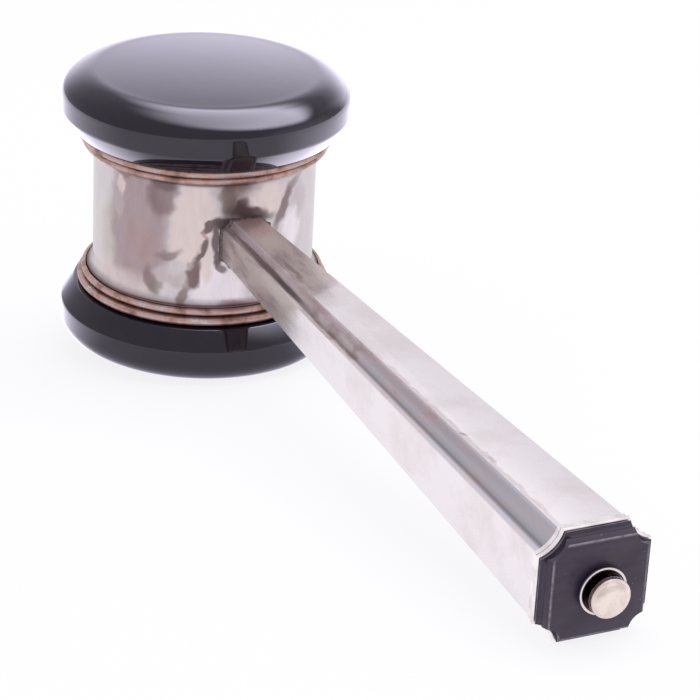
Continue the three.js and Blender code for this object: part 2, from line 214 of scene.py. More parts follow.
class Workbench:
    """Shapes meshes with Blender's own operators, in the gavel's own frame."""

    def __init__(self, pose: RestPose) -> None:
        """Keeps the pose that finished pieces are laid down in."""
        self.pose = pose

    def pick(self, piece: Piece) -> None:
        """Selects one piece alone and makes it active."""
        bpy.ops.object.select_all(action="DESELECT")
        piece.select_set(True)
        bpy.context.view_layer.objects.active = piece

    def start(self, name: str) -> Piece:
        """Adds a small square and merges it to the one point that an outline grows from.

        Args:
            name: The new piece's name.

        Returns:
            The piece, in edit mode with its point selected.
        """
        bpy.ops.object.select_all(action="DESELECT")
        bpy.ops.mesh.primitive_plane_add(size=1, location=(0, 0, 0))
        piece = bpy.context.object
        piece.name = piece.data.name = name
        bpy.ops.object.mode_set(mode="EDIT")
        bpy.ops.mesh.select_mode(type="VERT")
        bpy.ops.mesh.select_all(action="SELECT")
        bpy.ops.mesh.merge(type="CENTER")
        return piece

    def draw(self, points: Sequence[Point3], closed: bool) -> None:
        """Extrudes the selected point along an outline.

        Args:
            points: The outline's points. The selected point stands at the origin and moves to the first.
            closed: Whether the outline comes back to its first point.
        """
        bpy.ops.transform.translate(value=points[0])
        path = [*points, points[0]] if closed else list(points)
        for here, there in zip(path, path[1:]):
            step = Vector(there) - Vector(here)
            bpy.ops.mesh.extrude_region_move(TRANSFORM_OT_translate={"value": step})

    def merge_and_face_out(self) -> None:
        """Merges doubled points, turns every face outwards and leaves edit mode."""
        bpy.ops.mesh.select_all(action="SELECT")
        bpy.ops.mesh.remove_doubles(threshold=MERGE_DISTANCE)
        bpy.ops.mesh.normals_make_consistent(inside=False)
        bpy.ops.object.mode_set(mode="OBJECT")

    def turned(
        self, name: str, outline: Sequence[Point], axis: TurnAxis, segments: int, closed: bool = False
    ) -> Piece:
        """Turns a piece on an axis.

        Args:
            name: The new piece's name.
            outline: Radius and place along the axis of each point.
            axis: The axis to turn about.
            segments: How many flats make the round.
            closed: Whether the outline comes back to its first point, as on a ring.

        Returns:
            The piece, in object mode.
        """
        along = Vector(axis.value)
        across = Vector((along.z, 0, along.x))
        piece = self.start(name)
        self.draw([tuple(across * radius + along * place) for radius, place in outline], closed)
        bpy.ops.mesh.select_all(action="SELECT")
        bpy.ops.mesh.spin(steps=segments, angle=FULL_TURN, center=(0, 0, 0), axis=axis.value)
        self.merge_and_face_out()
        return piece

    def rings(self, name: str, loops: Sequence[Sequence[Point3]]) -> Piece:
        """Draws closed loops of points, all with as many points, as one piece.

        Args:
            name: The new piece's name.
            loops: The loops' points.

        Returns:
            The piece, in edit mode.
        """
        piece = self.start(name)
        for number, points in enumerate(loops):
            if number:
                bpy.ops.mesh.select_all(action="DESELECT")
                bpy.ops.mesh.primitive_plane_add(size=1, location=(0, 0, 0))
                bpy.ops.mesh.merge(type="CENTER")
            self.draw(points, closed=True)
        bpy.ops.mesh.select_all(action="SELECT")
        bpy.ops.mesh.remove_doubles(threshold=MERGE_DISTANCE)
        return piece

    def select_where(self, piece: Piece, chosen: Callable[[bpy.types.MeshVertex], bool]) -> None:
        """Selects the points of a piece that pass a test.

        Args:
            piece: The piece, in edit mode.
            chosen: Takes a point and says whether it is selected.
        """
        bpy.ops.mesh.select_all(action="DESELECT")
        bpy.ops.object.mode_set(mode="OBJECT")
        for vertex in piece.data.vertices:
            vertex.select = chosen(vertex)
        bpy.ops.object.mode_set(mode="EDIT")
        bpy.ops.mesh.select_mode(type="VERT")

    def skin(self, piece: Piece, count: int, pairs: Sequence[tuple[int, int]]) -> None:
        """Bridges pairs of a piece's loops.

        Args:
            piece: The piece, in edit mode, with its loops' points in order.
            count: How many points a loop has.
            pairs: The numbers of the loops that are bridged.
        """
        for pair in pairs:
            self.select_where(piece, lambda vertex: vertex.index // count in pair)
            bpy.ops.mesh.bridge_edge_loops()

    def modifier(self, piece: Piece, kind: str, **settings: Any) -> None:
        """Adds a modifier to a piece and applies it.

        Args:
            piece: The piece, in object mode.
            kind: The modifier's type.
            settings: Its settings.
        """
        self.pick(piece)
        added = piece.modifiers.new(kind.title(), kind)
        for name, value in settings.items():
            setattr(added, name, value)
        bpy.ops.object.modifier_apply(modifier=added.name)

    def turned_over(self, piece: Piece, name: str) -> Piece:
        """Copies a piece of the upper end of the head and turns the copy over for the lower end.

        Args:
            piece: The piece to copy, still in the gavel's own frame.
            name: The copy's name.

        Returns:
            The copy, with a mesh of its own.
        """
        copy = piece.copy()
        copy.data = piece.data.copy()
        copy.name = copy.data.name = name
        bpy.context.scene.collection.objects.link(copy)
        copy.rotation_euler = (math.pi, 0, 0)
        return copy

    def lay_down(
        self, piece: Piece, body: Body, slot: Slot, nodes: Sequence[str], finish: Material, sharp: float = 28
    ) -> None:
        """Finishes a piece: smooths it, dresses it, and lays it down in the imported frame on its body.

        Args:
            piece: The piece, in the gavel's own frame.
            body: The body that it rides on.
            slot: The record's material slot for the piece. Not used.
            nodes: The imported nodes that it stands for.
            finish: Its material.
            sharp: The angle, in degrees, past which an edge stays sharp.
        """
        piece.matrix_world = self.pose.matrix() @ piece.matrix_basis
        self.pick(piece)
        bpy.ops.object.transform_apply(location=True, rotation=True, scale=True)
        bpy.ops.object.shade_smooth_by_angle(angle=math.radians(sharp))
        piece.data.materials.append(finish)
        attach(piece, body.value)
        if nodes:
            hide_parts(*nodes)
        LOG.info("%s: %d faces, on %s", piece.name, len(piece.data.polygons), body.value)


# Finishes


def linear(hex_colour: str) -> Colour:
    """Turns an sRGB hex colour to the linear colour that a socket takes.

    Args:
        hex_colour: The colour, such as "#d8cfd3".

    Returns:
        Linear red, green and blue, and an alpha of 1.
    """
    shares = [int(hex_colour[place : place + 2], 16) / 255 for place in (1, 3, 5)]
    red, green, blue = [s / 12.92 if s <= 0.04045 else ((s + 0.055) / 1.055) ** 2.4 for s in shares]
    return red, green, blue, 1.0


def add_node(
    tree: bpy.types.NodeTree, kind: str, inputs: dict[str, Any] | Sequence[Any] = (), **settings: Any
) -> Node:
    """Adds a node with its settings, values and links.

    Args:
        tree: The node tree.
        kind: The node's type.
        inputs: A value, a hex colour or a source for each input, by name or else in the order of the inputs
            in use. For a Map Range node that order is the value, its two ends and what they become.
        settings: The node's own settings. A "ramp" is a list of places, each with a hex colour or a level.

    Returns:
        The node.
    """
    node = tree.nodes.new(kind)
    ramp = settings.pop("ramp", ())
    for name, value in settings.items():
        setattr(node, name, value)
    if ramp:
        elements = node.color_ramp.elements
        while len(elements) < len(ramp):
            elements.new(0.5)
        for element, (place, colour) in zip(elements, ramp):
            element.position = place
            element.color = linear(colour) if isinstance(colour, str) else (colour, colour, colour, 1)
    named = isinstance(inputs, dict)
    sockets = node.inputs if named else [socket for socket in node.inputs if socket.enabled]
    for name, value in inputs.items() if named else enumerate(inputs):
        if isinstance(value, Node):
            value = next(socket for socket in value.outputs if socket.enabled)
        if isinstance(value, bpy.types.NodeSocket):
            tree.links.new(value, sockets[name])
        else:
            sockets[name].default_value = linear(value) if isinstance(value, str) else value
    return node


def node_adder(owner: Material | bpy.types.World) -> Adder:
    """Empties the node tree of a material or a world.

    Args:
        owner: The material or the world.

    Returns:
        add_node for its tree.
    """
    owner.use_nodes = True
    owner.node_tree.nodes.clear()
    return partial(add_node, owner.node_tree)


class Tarnish(Enum):
    """The colours that silver goes through as sulphide grows on it, and of what gathers in its hollows."""

    BRIGHT = "#ece2ea"
    LAVENDER = "#cfc8cc"
    CREAM = "#d9c9c7"
    PALE_GREEN = "#c3beb5"
    HAZE = "#c0b3b6"
    COPPER = "#b08f8b"
    MAUVE = "#a38f94"
    BROWN = "#836f71"
    OLIVE = "#8d807a"
    DARK = "#6c5d60"
    SOOT = "#56484b"


@dataclass(frozen=True)
class Stain:
    """One patch of tarnish. Sizes are in millimetres, on the surface laid out flat."""

    place: Point
    reach: Point
    tint: Tarnish
    turn: float = 0.0
    cover: float = 1.0
    fade: float = 0.35


@dataclass(frozen=True)
class Finish:
    """A finish that patterns itself on the gavel's own frame."""

    pose: RestPose

    def begin(self, name: str) -> tuple[Adder, Material, Node]:
        """Starts a material.

        Args:
            name: The material's name.

        Returns:
            What adds its nodes, the material, and the place on the piece in the gavel's own frame, in
            millimetres.
        """
        material = bpy.data.materials.new(name)
        add = node_adder(material)
        place = add("ShaderNodeMapping", {
            "Vector": add("ShaderNodeTexCoord").outputs["Object"], "Location": self.pose.centre,
            "Rotation": (0, self.pose.tilt, 0), "Scale": (MM, MM, MM),
        }, vector_type="TEXTURE")
        return add, material, place

    def end(
        self, add: Adder, surface: dict[str, Any], relief: tuple[Source, float, float] | None = None
    ) -> None:
        """Ends a material in one surface shader.

        Args:
            add: Adds a node to the tree.
            surface: The shader's values and sources.
            relief: A pattern that stands out of the surface, with its strength and its height in metres.
        """
        if relief:
            height, strength, distance = relief
            bump = {"Height": height, "Strength": strength, "Distance": distance}
            surface = {**surface, "Normal": add("ShaderNodeBump", bump)}
        add("ShaderNodeOutputMaterial", {"Surface": add("ShaderNodeBsdfPrincipled", surface)})

    def clouded(
        self, add: Adder, place: Source, size: float, detail: float, roughness: float,
        ramp: Sequence[tuple[float, str]], distortion: float = 0.0,
    ) -> tuple[Node, Node]:
        """Lays colours in clouds.

        Args:
            add: Adds a node to the tree.
            place: The place on the piece.
            size: How far apart the clouds are.
            detail: How many times they break up.
            roughness: How much of them the small ones are.
            ramp: The colours, from where the clouds are thin to where they are thick.
            distortion: How far the clouds are swirled.

        Returns:
            How thick the clouds are, and their colour.
        """
        clouds = add("ShaderNodeTexNoise", {
            "Vector": place, "Scale": 1 / size, "Detail": detail, "Roughness": roughness,
            "Distortion": distortion,
        })
        return clouds, add("ShaderNodeValToRGB", [clouds], ramp=ramp)

    def wander(self, add: Adder, flat: Source, place: Source, size: float, reach: float) -> Node:
        """Makes flat coordinates wander, so that the stains drawn on them have natural edges.

        Args:
            add: Adds a node to the tree.
            flat: The coordinates on the surface laid out flat, in millimetres.
            place: The place on the piece, in millimetres.
            size: How far apart the bends are.
            reach: How far a bend may go.

        Returns:
            The wandering coordinates.
        """
        bends = add("ShaderNodeTexNoise", {
            "Vector": place, "Scale": 1 / size, "Detail": 2.0, "Roughness": 0.4,
        })
        swing = (2 * reach, 2 * reach, 0)
        pushed = add("ShaderNodeVectorMath", [bends.outputs["Color"], swing, flat], operation="MULTIPLY_ADD")
        return add("ShaderNodeVectorMath", [pushed, (reach, reach, 0)], operation="SUBTRACT")

    def stained(self, add: Adder, spot: Source, under: Source, stains: Sequence[Stain]) -> Source:
        """Lays patches of tarnish over a colour, one after the other.

        Args:
            add: Adds a node to the tree.
            spot: The coordinates on the surface laid out flat. Their third part is 0 where stains may lie.
            under: The colour that they cover.
            stains: The patches.

        Returns:
            The stained colour.
        """
        for stain in stains:
            local = add("ShaderNodeMapping", {
                "Vector": spot, "Location": (*stain.place, 0), "Scale": (*stain.reach, 1),
                "Rotation": (0, 0, math.radians(stain.turn)),
            }, vector_type="TEXTURE")
            away = add("ShaderNodeVectorMath", [local], operation="LENGTH")
            ends = (1 - stain.fade, 1 + stain.fade, stain.cover, 0.0)
            cover = add("ShaderNodeMapRange", [away, *ends], interpolation_type="SMOOTHSTEP")
            under = add("ShaderNodeMix", [cover, under, stain.tint.value], data_type="RGBA")
        return under


@dataclass(frozen=True)
class SpunDrumSilver(Finish):
    """Sterling sheet, spun into a drum and left to tarnish, then rubbed where hands reach it.

    It gives the eye a soft pale metal that breaks up into mauve and brown clouds with crisp edges, runs
    of old polish that have dried dark, and a dark foot round the handle's root.
    """

    drum_radius: float = 24.3
    cloud_size: float = 9.0
    streak_width: float = 1.6
    streak_length: float = 6.25
    cove_oxide_and_shade: str = "#6b4b48"
    clean_roughness: float = 0.27
    dull_roughness: float = 0.42
    stains: tuple[Stain, ...] = (
        Stain((-42.5, 0.0), (7.5, 30.0), Tarnish.LAVENDER, cover=0.9),
        Stain((-33.5, -3.0), (2.6, 9.0), Tarnish.PALE_GREEN, cover=0.7),
        Stain((-24.8, 2.0), (8.0, 14.0), Tarnish.MAUVE, cover=0.85, fade=0.25),
        Stain((-18.5, 10.0), (3.4, 4.8), Tarnish.BROWN, cover=0.8),
        Stain((-18.0, 13.0), (3.0, 1.6), Tarnish.DARK, cover=0.7),
        Stain((-28.0, 13.2), (4.0, 1.0), Tarnish.BROWN, cover=0.6),
        Stain((-23.5, -1.5), (3.6, 4.2), Tarnish.COPPER, cover=0.45, fade=0.6),
        Stain((-26.0, -12.5), (6.5, 3.2), Tarnish.CREAM, cover=0.5, fade=0.5),
        Stain((-29.0, 10.3), (1.3, 1.9), Tarnish.CREAM, turn=-15, cover=0.9),
        Stain((-30.0, 6.0), (1.6, 3.0), Tarnish.HAZE, cover=0.5),
        Stain((-36.5, -10.5), (6.0, 2.2), Tarnish.CREAM, cover=0.6),
        Stain((-11.5, 5.0), (4.6, 9.0), Tarnish.CREAM, turn=-4, cover=0.95, fade=0.2),
        Stain((-13.0, -1.0), (3.4, 4.0), Tarnish.CREAM, cover=0.9),
        Stain((-15.8, -7.4), (4.3, 3.2), Tarnish.HAZE, turn=8, cover=0.9, fade=0.2),
        Stain((-14.5, -6.0), (3.0, 1.8), Tarnish.LAVENDER, cover=0.6),
        Stain((-16.6, -3.0), (2.6, 1.0), Tarnish.BROWN, turn=14, cover=0.7, fade=0.5),
        Stain((-21.0, -9.6), (1.4, 3.0), Tarnish.BROWN, turn=12, cover=0.7, fade=0.5),
        Stain((-20.0, -11.0), (1.4, 1.4), Tarnish.OLIVE, cover=0.8, fade=0.5),
        Stain((-6.0, -10.0), (6.6, 5.2), Tarnish.BRIGHT, turn=-35, cover=0.8),
        Stain((-8.3, -4.0), (1.5, 5.0), Tarnish.CREAM, cover=0.8),
        Stain((-4.2, 10.6), (1.9, 3.2), Tarnish.OLIVE, turn=-10, cover=0.9),
        Stain((0.5, 12.5), (3.0, 1.6), Tarnish.BROWN, cover=0.35),
        Stain((5.6, 9.0), (3.0, 3.8), Tarnish.CREAM, turn=25, cover=0.9),
        Stain((12.5, 11.6), (3.6, 1.3), Tarnish.BROWN, turn=40, cover=0.7),
        Stain((9.4, 6.0), (1.2, 4.8), Tarnish.BROWN, turn=-24, cover=0.85),
        Stain((24.0, 0.0), (10.5, 34.0), Tarnish.LAVENDER, cover=0.9),
        Stain((15.0, 7.0), (2.4, 3.6), Tarnish.HAZE, cover=0.6),
        Stain((12.5, 1.0), (2.6, 4.2), Tarnish.BRIGHT, turn=15, cover=0.9),
        Stain((1.2, 6.5), (5.6, 1.9), Tarnish.DARK, turn=-13, fade=0.4),
        Stain((-1.2, 8.4), (1.8, 1.2), Tarnish.DARK, turn=25, cover=0.8, fade=0.5),
        Stain((2.0, 9.0), (1.7, 0.6), Tarnish.CREAM, turn=-28, cover=0.9, fade=0.4),
        Stain((-4.8, 4.9), (1.9, 1.6), Tarnish.SOOT, cover=0.95, fade=0.5),
        Stain((-7.4, 4.4), (2.6, 0.6), Tarnish.DARK, turn=35, cover=0.9),
        Stain((-9.0, 2.6), (0.7, 1.2), Tarnish.COPPER, cover=0.7),
        Stain((-9.9, -1.7), (3.6, 0.75), Tarnish.DARK, turn=66, cover=0.9),
        Stain((-11.3, -7.3), (3.2, 1.5), Tarnish.BROWN, turn=78, fade=0.3),
        Stain((-13.4, -12.0), (2.2, 1.3), Tarnish.BROWN, turn=72, cover=0.8),
        Stain((-6.5, 1.0), (3.8, 0.95), Tarnish.DARK, turn=86, cover=0.9),
        Stain((-6.3, -3.2), (1.8, 0.75), Tarnish.DARK, turn=97, cover=0.9),
        Stain((-5.3, -5.4), (1.7, 0.7), Tarnish.DARK, turn=-52, cover=0.8),
    )

    def build(self) -> Material:
        """Makes the material."""
        add, material, place = self.begin("sterling_sheet_spun_and_tarnished")
        x, y, z = add("ShaderNodeSeparateXYZ", [place]).outputs
        turn = add("ShaderNodeMath", [y, x], operation="ARCTAN2")
        unrolled = add("ShaderNodeMath", [turn, self.drum_radius], operation="MULTIPLY")
        spot = self.wander(add, add("ShaderNodeCombineXYZ", [unrolled, z]), place, size=3.5, reach=1.7)
        ramp = [(0.32, Tarnish.HAZE.value), (0.56, Tarnish.LAVENDER.value)]
        clouds, ground = self.clouded(add, place, self.cloud_size, 5.0, 0.6, ramp, distortion=0.2)
        tarnished = self.stained(add, spot, ground, self.stains)
        scale = (1 / self.streak_width, 1 / self.streak_width, 1 / self.streak_length)
        stretched = add("ShaderNodeMapping", {"Vector": place, "Scale": scale})
        streaks = add("ShaderNodeTexNoise", {
            "Vector": stretched, "Scale": 1.0, "Detail": 4.0, "Roughness": 0.6,
        })
        rubbed = add("ShaderNodeMapRange", [streaks, 0.3, 0.7, 0.94, 1.04])
        shaded = add("ShaderNodeVectorMath", [tarnished, rubbed], operation="SCALE")
        radius = add("ShaderNodeVectorMath", [add("ShaderNodeCombineXYZ", [x, y])], operation="LENGTH")
        # Oxide where no cloth reaches, and painted shade: the cove beside the bead is darkened to red-brown.
        ends = (self.drum_radius + 0.15, self.drum_radius + 1.1, 0.0, 0.85)
        hollow = add("ShaderNodeMapRange", [radius, *ends])
        darkened = add("ShaderNodeMix", [hollow, shaded, self.cove_oxide_and_shade], data_type="RGBA")
        grey = add("ShaderNodeRGBToBW", [darkened])
        rough = add("ShaderNodeMapRange", [grey, 0.1, 0.65, self.dull_roughness, self.clean_roughness])
        surface = {"Base Color": darkened, "Metallic": 1.0, "Roughness": rough}
        self.end(add, surface, (clouds, 0.35, 0.00035))
        return material


@dataclass(frozen=True)
class TonedWireSilver(Finish):
    """Half-round silver wire, soldered on and toned by age, as under-polished mouldings go.

    It gives the eye a dull copper-pink line with grey and brown lengths, and cream lengths that are painted
    highlights.
    """

    pink: str = "#c39f99"
    tan: str = "#a7857d"
    grey: str = "#b3a1a2"
    umber: str = "#84685f"
    cream_highlight: str = "#d8c8c3"
    length: float = 5.0
    nick_gap: float = 0.8
    roughness: float = 0.34

    def build(self) -> Material:
        """Makes the material."""
        add, material, place = self.begin("half_round_silver_wire_toned")
        # The cream lengths are painted highlights, laid at random along the wire.
        ramp = [(0.34, self.umber), (0.43, self.tan), (0.52, self.pink), (0.6, self.grey), (0.7, self.cream_highlight)]
        _, tone = self.clouded(add, place, self.length, 4.0, 0.65, ramp)
        nicks = add("ShaderNodeTexNoise", {"Vector": place, "Scale": 1 / self.nick_gap, "Detail": 2.0})
        surface = {"Base Color": tone, "Metallic": 0.8, "Roughness": self.roughness}
        self.end(add, surface, (nicks, 0.3, 0.0001))
        return material


@dataclass(frozen=True)
class DrawnHandleSilver(Finish):
    """Sterling tube, drawn to a taper and hand polished on its flats.

    It gives the eye nearly white flats with fine scratches, a greyer hollow down each corner with a painted
    highlight and a painted dark line low in it, and a brown bloom towards the head, where hands don't rub it.
    """

    taper: Taper
    clean: str = "#f1eaef"
    faint: str = "#e8dfe3"
    flute_grey: str = "#c0b2b6"
    flute_blue: str = "#b6b2bb"
    flute_brown: str = "#a18f8e"
    bloom: str = "#b3a49f"
    bloom_dark: str = "#94858a"
    bloom_fade: Point = (59.0, 67.0)
    bloom_slant: float = 0.6
    bloom_rag: float = 9.0
    blue_from: Point = (80.0, 165.0)
    mottle_size: float = 2.6
    haze_size: float = 13.0
    roughness: float = 0.24
    # Painted shading: how light a flute is, from its edge on the side flat to its edge on the top flat.
    flute_painted_shading: tuple[Point, ...] = (
        (0.0, 1.5), (0.13, 1.4), (0.2, 0.75), (0.26, 0.54), (0.34, 0.84), (0.5, 0.98), (0.86, 0.98),
        (0.93, 1.15),
    )
    stains: tuple[Stain, ...] = (
        Stain((27.0, 0.0), (7.0, 5.0), Tarnish.COPPER, cover=0.6, fade=0.6),
        Stain((138.0, -5.2), (42.0, 0.55), Tarnish.HAZE, turn=-0.95, cover=0.55, fade=0.6),
        Stain((137.0, -4.6), (0.9, 0.35), Tarnish.BROWN, turn=15, cover=0.6),
        Stain((148.0, -4.9), (1.2, 0.4), Tarnish.HAZE, turn=10, cover=0.7),
        Stain((54.0, -2.4), (8.0, 0.6), Tarnish.BROWN, turn=-3, cover=0.7, fade=0.6),
        Stain((65.5, -1.5), (1.5, 4.6), Tarnish.MAUVE, turn=32, cover=0.5, fade=0.6),
    )
    flute_stains: tuple[Stain, ...] = (
        Stain((46.0, 2.0), (24.0, 9.0), Tarnish.MAUVE, cover=0.5, fade=0.4),
        Stain((62.0, -8.4), (20.0, 1.6), Tarnish.CREAM, cover=0.8, fade=0.5),
        Stain((47.0, -2.2), (20.0, 3.0), Tarnish.DARK, turn=-3, cover=0.95, fade=0.3),
        Stain((60.0, -3.0), (7.0, 3.0), Tarnish.SOOT, cover=0.6, fade=0.4),
        Stain((112.0, 5.0), (40.0, 3.4), Tarnish.MAUVE, cover=0.45, fade=0.6),
    )

    def build(self) -> Material:
        """Makes the material."""
        add, material, place = self.begin("sterling_tube_drawn_and_polished")
        taper = self.taper
        x, y, z = add("ShaderNodeSeparateXYZ", [place]).outputs
        aside = add("ShaderNodeMath", [y], operation="ABSOLUTE")
        above = add("ShaderNodeMath", [z], operation="ABSOLUTE")
        lead = add("ShaderNodeMath", [above, aside], operation="SUBTRACT")
        cut = add("ShaderNodeMapRange", [x, taper.start, taper.end, taper.root_cut, taper.end_cut])
        # Runs from -1 at a flute's edge on the side flat to 1 at its edge on the top flat.
        down = add("ShaderNodeMath", [lead, cut], operation="DIVIDE")
        edge = add("ShaderNodeMath", [down], operation="ABSOLUTE")
        on_flat = add("ShaderNodeMapRange", [edge, 0.94, 1.0])

        # The flutes
        lengthwise = add("ShaderNodeMapping", {"Vector": place, "Scale": (0.3, 1.0, 1.0)})
        ramp = [(0.35, self.bloom_dark), (0.5, self.bloom)]
        mottle, brown = self.clouded(add, lengthwise, self.mottle_size, 5.0, 0.6, ramp)
        far = add("ShaderNodeMapRange", [x, *self.blue_from, -0.04, 0.16])
        shifted = add("ShaderNodeMath", [mottle, far], operation="ADD")
        ramp = [(0.36, self.flute_brown), (0.5, self.flute_grey), (0.66, self.flute_blue)]
        hollow = add("ShaderNodeValToRGB", [shifted], ramp=ramp)
        # Painted shading across each flute: a painted highlight along its edge on the side flat, a painted
        # dark line just inside it, and a lighter edge on the top flat.
        across = add("ShaderNodeMapRange", [down, -1.0, 1.0])
        shade = add("ShaderNodeValToRGB", [across], ramp=self.flute_painted_shading)
        shading_painted_flutes = add("ShaderNodeMix", [1.0, hollow, shade], data_type="RGBA", blend_type="MULTIPLY")
        off_flute = add("ShaderNodeMath", [on_flat, OFF_SURFACE], operation="MULTIPLY")
        over = add("ShaderNodeMath", [down, FLUTE_REACH], operation="MULTIPLY")
        spot = self.wander(add, add("ShaderNodeCombineXYZ", [x, over, off_flute]), place, size=4.0, reach=1.0)
        flutes = self.stained(add, spot, shading_painted_flutes, self.flute_stains)

        # The flats. The bloom's end slants across the top, and reaches further along the foot of the sides.
        ramp = [(0.36, self.faint), (0.55, self.clean)]
        haze, wiped = self.clouded(add, place, self.haze_size, 5.0, 0.6, ramp)
        leaning = add("ShaderNodeVectorMath", [place, (1.0, self.bloom_slant, -1.0)], operation="DOT_PRODUCT")
        ragged = add("ShaderNodeMath", [haze, self.bloom_rag, leaning], operation="MULTIPLY_ADD")
        bloomed, metallic = (
            add("ShaderNodeMapRange", [ragged, *self.bloom_fade, *levels], interpolation_type="SMOOTHSTEP")
            for levels in ((0.92, 0.0), (0.4, 1.0))
        )
        toned = add("ShaderNodeMix", [bloomed, wiped, brown], data_type="RGBA")
        off_top = add("ShaderNodeMapRange", [down, 1.0, 0.95, 0.0, OFF_SURFACE])
        spot = self.wander(add, add("ShaderNodeCombineXYZ", [x, y, off_top]), place, size=3.0, reach=1.0)
        flats = self.stained(add, spot, toned, self.stains)

        paired = add("ShaderNodeMix", [on_flat, flutes, flats], data_type="RGBA")
        along = add("ShaderNodeMapping", {"Vector": place, "Scale": (0.07, 1.6, 1.6)})
        strokes = add("ShaderNodeTexNoise", {
            "Vector": along, "Scale": 1.0, "Detail": 4.0, "Roughness": 0.7, "Distortion": 0.3,
        })
        ends = (0.3, 0.7, self.roughness - 0.02, self.roughness + 0.05)
        rough = add("ShaderNodeMapRange", [strokes, *ends])
        surface = {"Base Color": paired, "Metallic": metallic, "Roughness": rough}
        self.end(add, surface, (strokes, 0.1, 0.00002))
        return material


@dataclass(frozen=True)
class SolderOxide(Finish):
    """Silver solder, run round the handle's root and never cleaned up.

    It gives the eye a dark, lumpy brown line with grey crusts.
    """

    crust: str = "#7c6c6b"
    body: str = "#6b5c5e"
    pit: str = "#4e4144"
    grain: float = 1.1

    def build(self) -> Material:
        """Makes the material."""
        add, material, place = self.begin("silver_solder_oxidised")
        ramp = [(0.36, self.pit), (0.5, self.body), (0.66, self.crust)]
        lumps, tone = self.clouded(add, place, self.grain, 5.0, 0.65, ramp)
        self.end(add, {"Base Color": tone, "Metallic": 0.7, "Roughness": 0.45}, (lumps, 0.6, 0.0003))
        return material


@dataclass(frozen=True)
class PolishedFittingSilver(Finish):
    """Cast silver fittings, filed and polished: the flange and the button.

    It gives the eye a warm bright metal with a few crossing scratches, a faint brown haze, and a painted
    shade in its hollow, which is given by its middle along the handle and half its width.
    """

    name: str
    colour: str
    haze: str
    hollow: Point
    hollow_painted_shade: str = "#5b4d4c"
    scratch: str = "#cdbfbe"
    patch: float = 3.2
    scratch_gap: float = 0.9
    # How each set of scratches is turned, and how much its cells are stretched.
    scratch_sets: tuple[Point, ...] = ((35.0, 0.12), (-50.0, 0.16))
    roughness: float = 0.16

    def build(self) -> Material:
        """Makes the material."""
        add, material, place = self.begin(self.name)
        ramp = [(0.34, self.haze), (0.55, self.colour)]
        patches, scored = self.clouded(add, place, self.patch, 4.0, 0.5, ramp)
        # Two sets of long thin cells cross each other, as a cloth's grit leaves them.
        for turn, stretch in self.scratch_sets:
            laid = add("ShaderNodeMapping", {
                "Vector": place, "Rotation": (math.radians(turn), 0.0, 0.0),
                "Scale": (0.3, stretch, 1 / self.scratch_gap),
            })
            cells = add("ShaderNodeTexNoise", {"Vector": laid, "Scale": 1.5, "Detail": 5.0, "Roughness": 0.8})
            score = add("ShaderNodeMapRange", [cells, 0.6, 0.68, 0.0, 0.5])
            scored = add("ShaderNodeMix", [score, scored, self.scratch], data_type="RGBA")
        # Painted shade: the hollow, which is the groove on the flange and the neck on the button, is
        # darkened.
        x, _, _ = add("ShaderNodeSeparateXYZ", [place]).outputs
        inside = add("ShaderNodeMath", [x, *self.hollow], operation="COMPARE")
        hollow_shaded = add("ShaderNodeMix", [inside, scored, self.hollow_painted_shade], data_type="RGBA")
        rough = add("ShaderNodeMapRange", [patches, 0.3, 0.7, self.roughness + 0.08, self.roughness])
        self.end(add, {"Base Color": hollow_shaded, "Metallic": 1.0, "Roughness": rough})
        return material


@dataclass(frozen=True)
class DishedCupSilver(Finish):
    """A spun silver cup washer whose dish has never been polished.

    It gives the eye a thin bright lip round a dark brown, still mirror-like hollow.
    """

    lip_radius: float = 3.95
    lip: str = "#e8dddf"
    dish: str = "#4a3a3c"
    dish_dark: str = "#2c2022"
    patch: float = 1.8
    roughness: float = 0.16

    def build(self) -> Material:
        """Makes the material."""
        add, material, place = self.begin("spun_silver_cup_dark_dish")
        _, y, z = add("ShaderNodeSeparateXYZ", [place]).outputs
        across = add("ShaderNodeCombineXYZ", {"Y": y, "Z": z})
        radius = add("ShaderNodeVectorMath", [across], operation="LENGTH")
        ramp = [(0.35, self.dish_dark), (0.65, self.dish)]
        _, brown = self.clouded(add, place, self.patch, 4.0, 0.5, ramp)
        rim = add("ShaderNodeMapRange", [radius, self.lip_radius - 0.15, self.lip_radius + 0.05])
        tone = add("ShaderNodeMix", [rim, brown, self.lip], data_type="RGBA")
        self.end(add, {"Base Color": tone, "Metallic": 1.0, "Roughness": self.roughness})
        return material


@dataclass(frozen=True)
class PolishedEbony(Finish):
    """Ebonised hardwood under a burnished lacquer, as a piano key's black.

    It gives the eye a near-black mirror: nearly all that shows is what it reflects, with a trace of the
    wood's brown and a very slight ripple left by the burnishing cloth.
    """

    colour: str = "#15101b"
    figure: str = "#1d151c"
    grain: float = 2.2
    ripple: float = 7.0

    def build(self) -> Material:
        """Makes the material."""
        add, material, place = self.begin("ebonised_hardwood_burnished")
        laid = add("ShaderNodeMapping", {"Vector": place, "Scale": (0.12, 1.0, 1.0)})
        _, tone = self.clouded(add, laid, self.grain, 5.0, 0.5, [(0.4, self.colour), (0.7, self.figure)])
        ripple = add("ShaderNodeTexNoise", {"Vector": place, "Scale": 1 / self.ripple, "Detail": 2.0})
        # No roughness: the lacquer is a mirror, and a mirror shows the studio's own softbox.
        self.end(add, {"Base Color": tone, "Roughness": 0.0, "IOR": 1.5}, (ripple, 0.1, 0.0001))
        return material


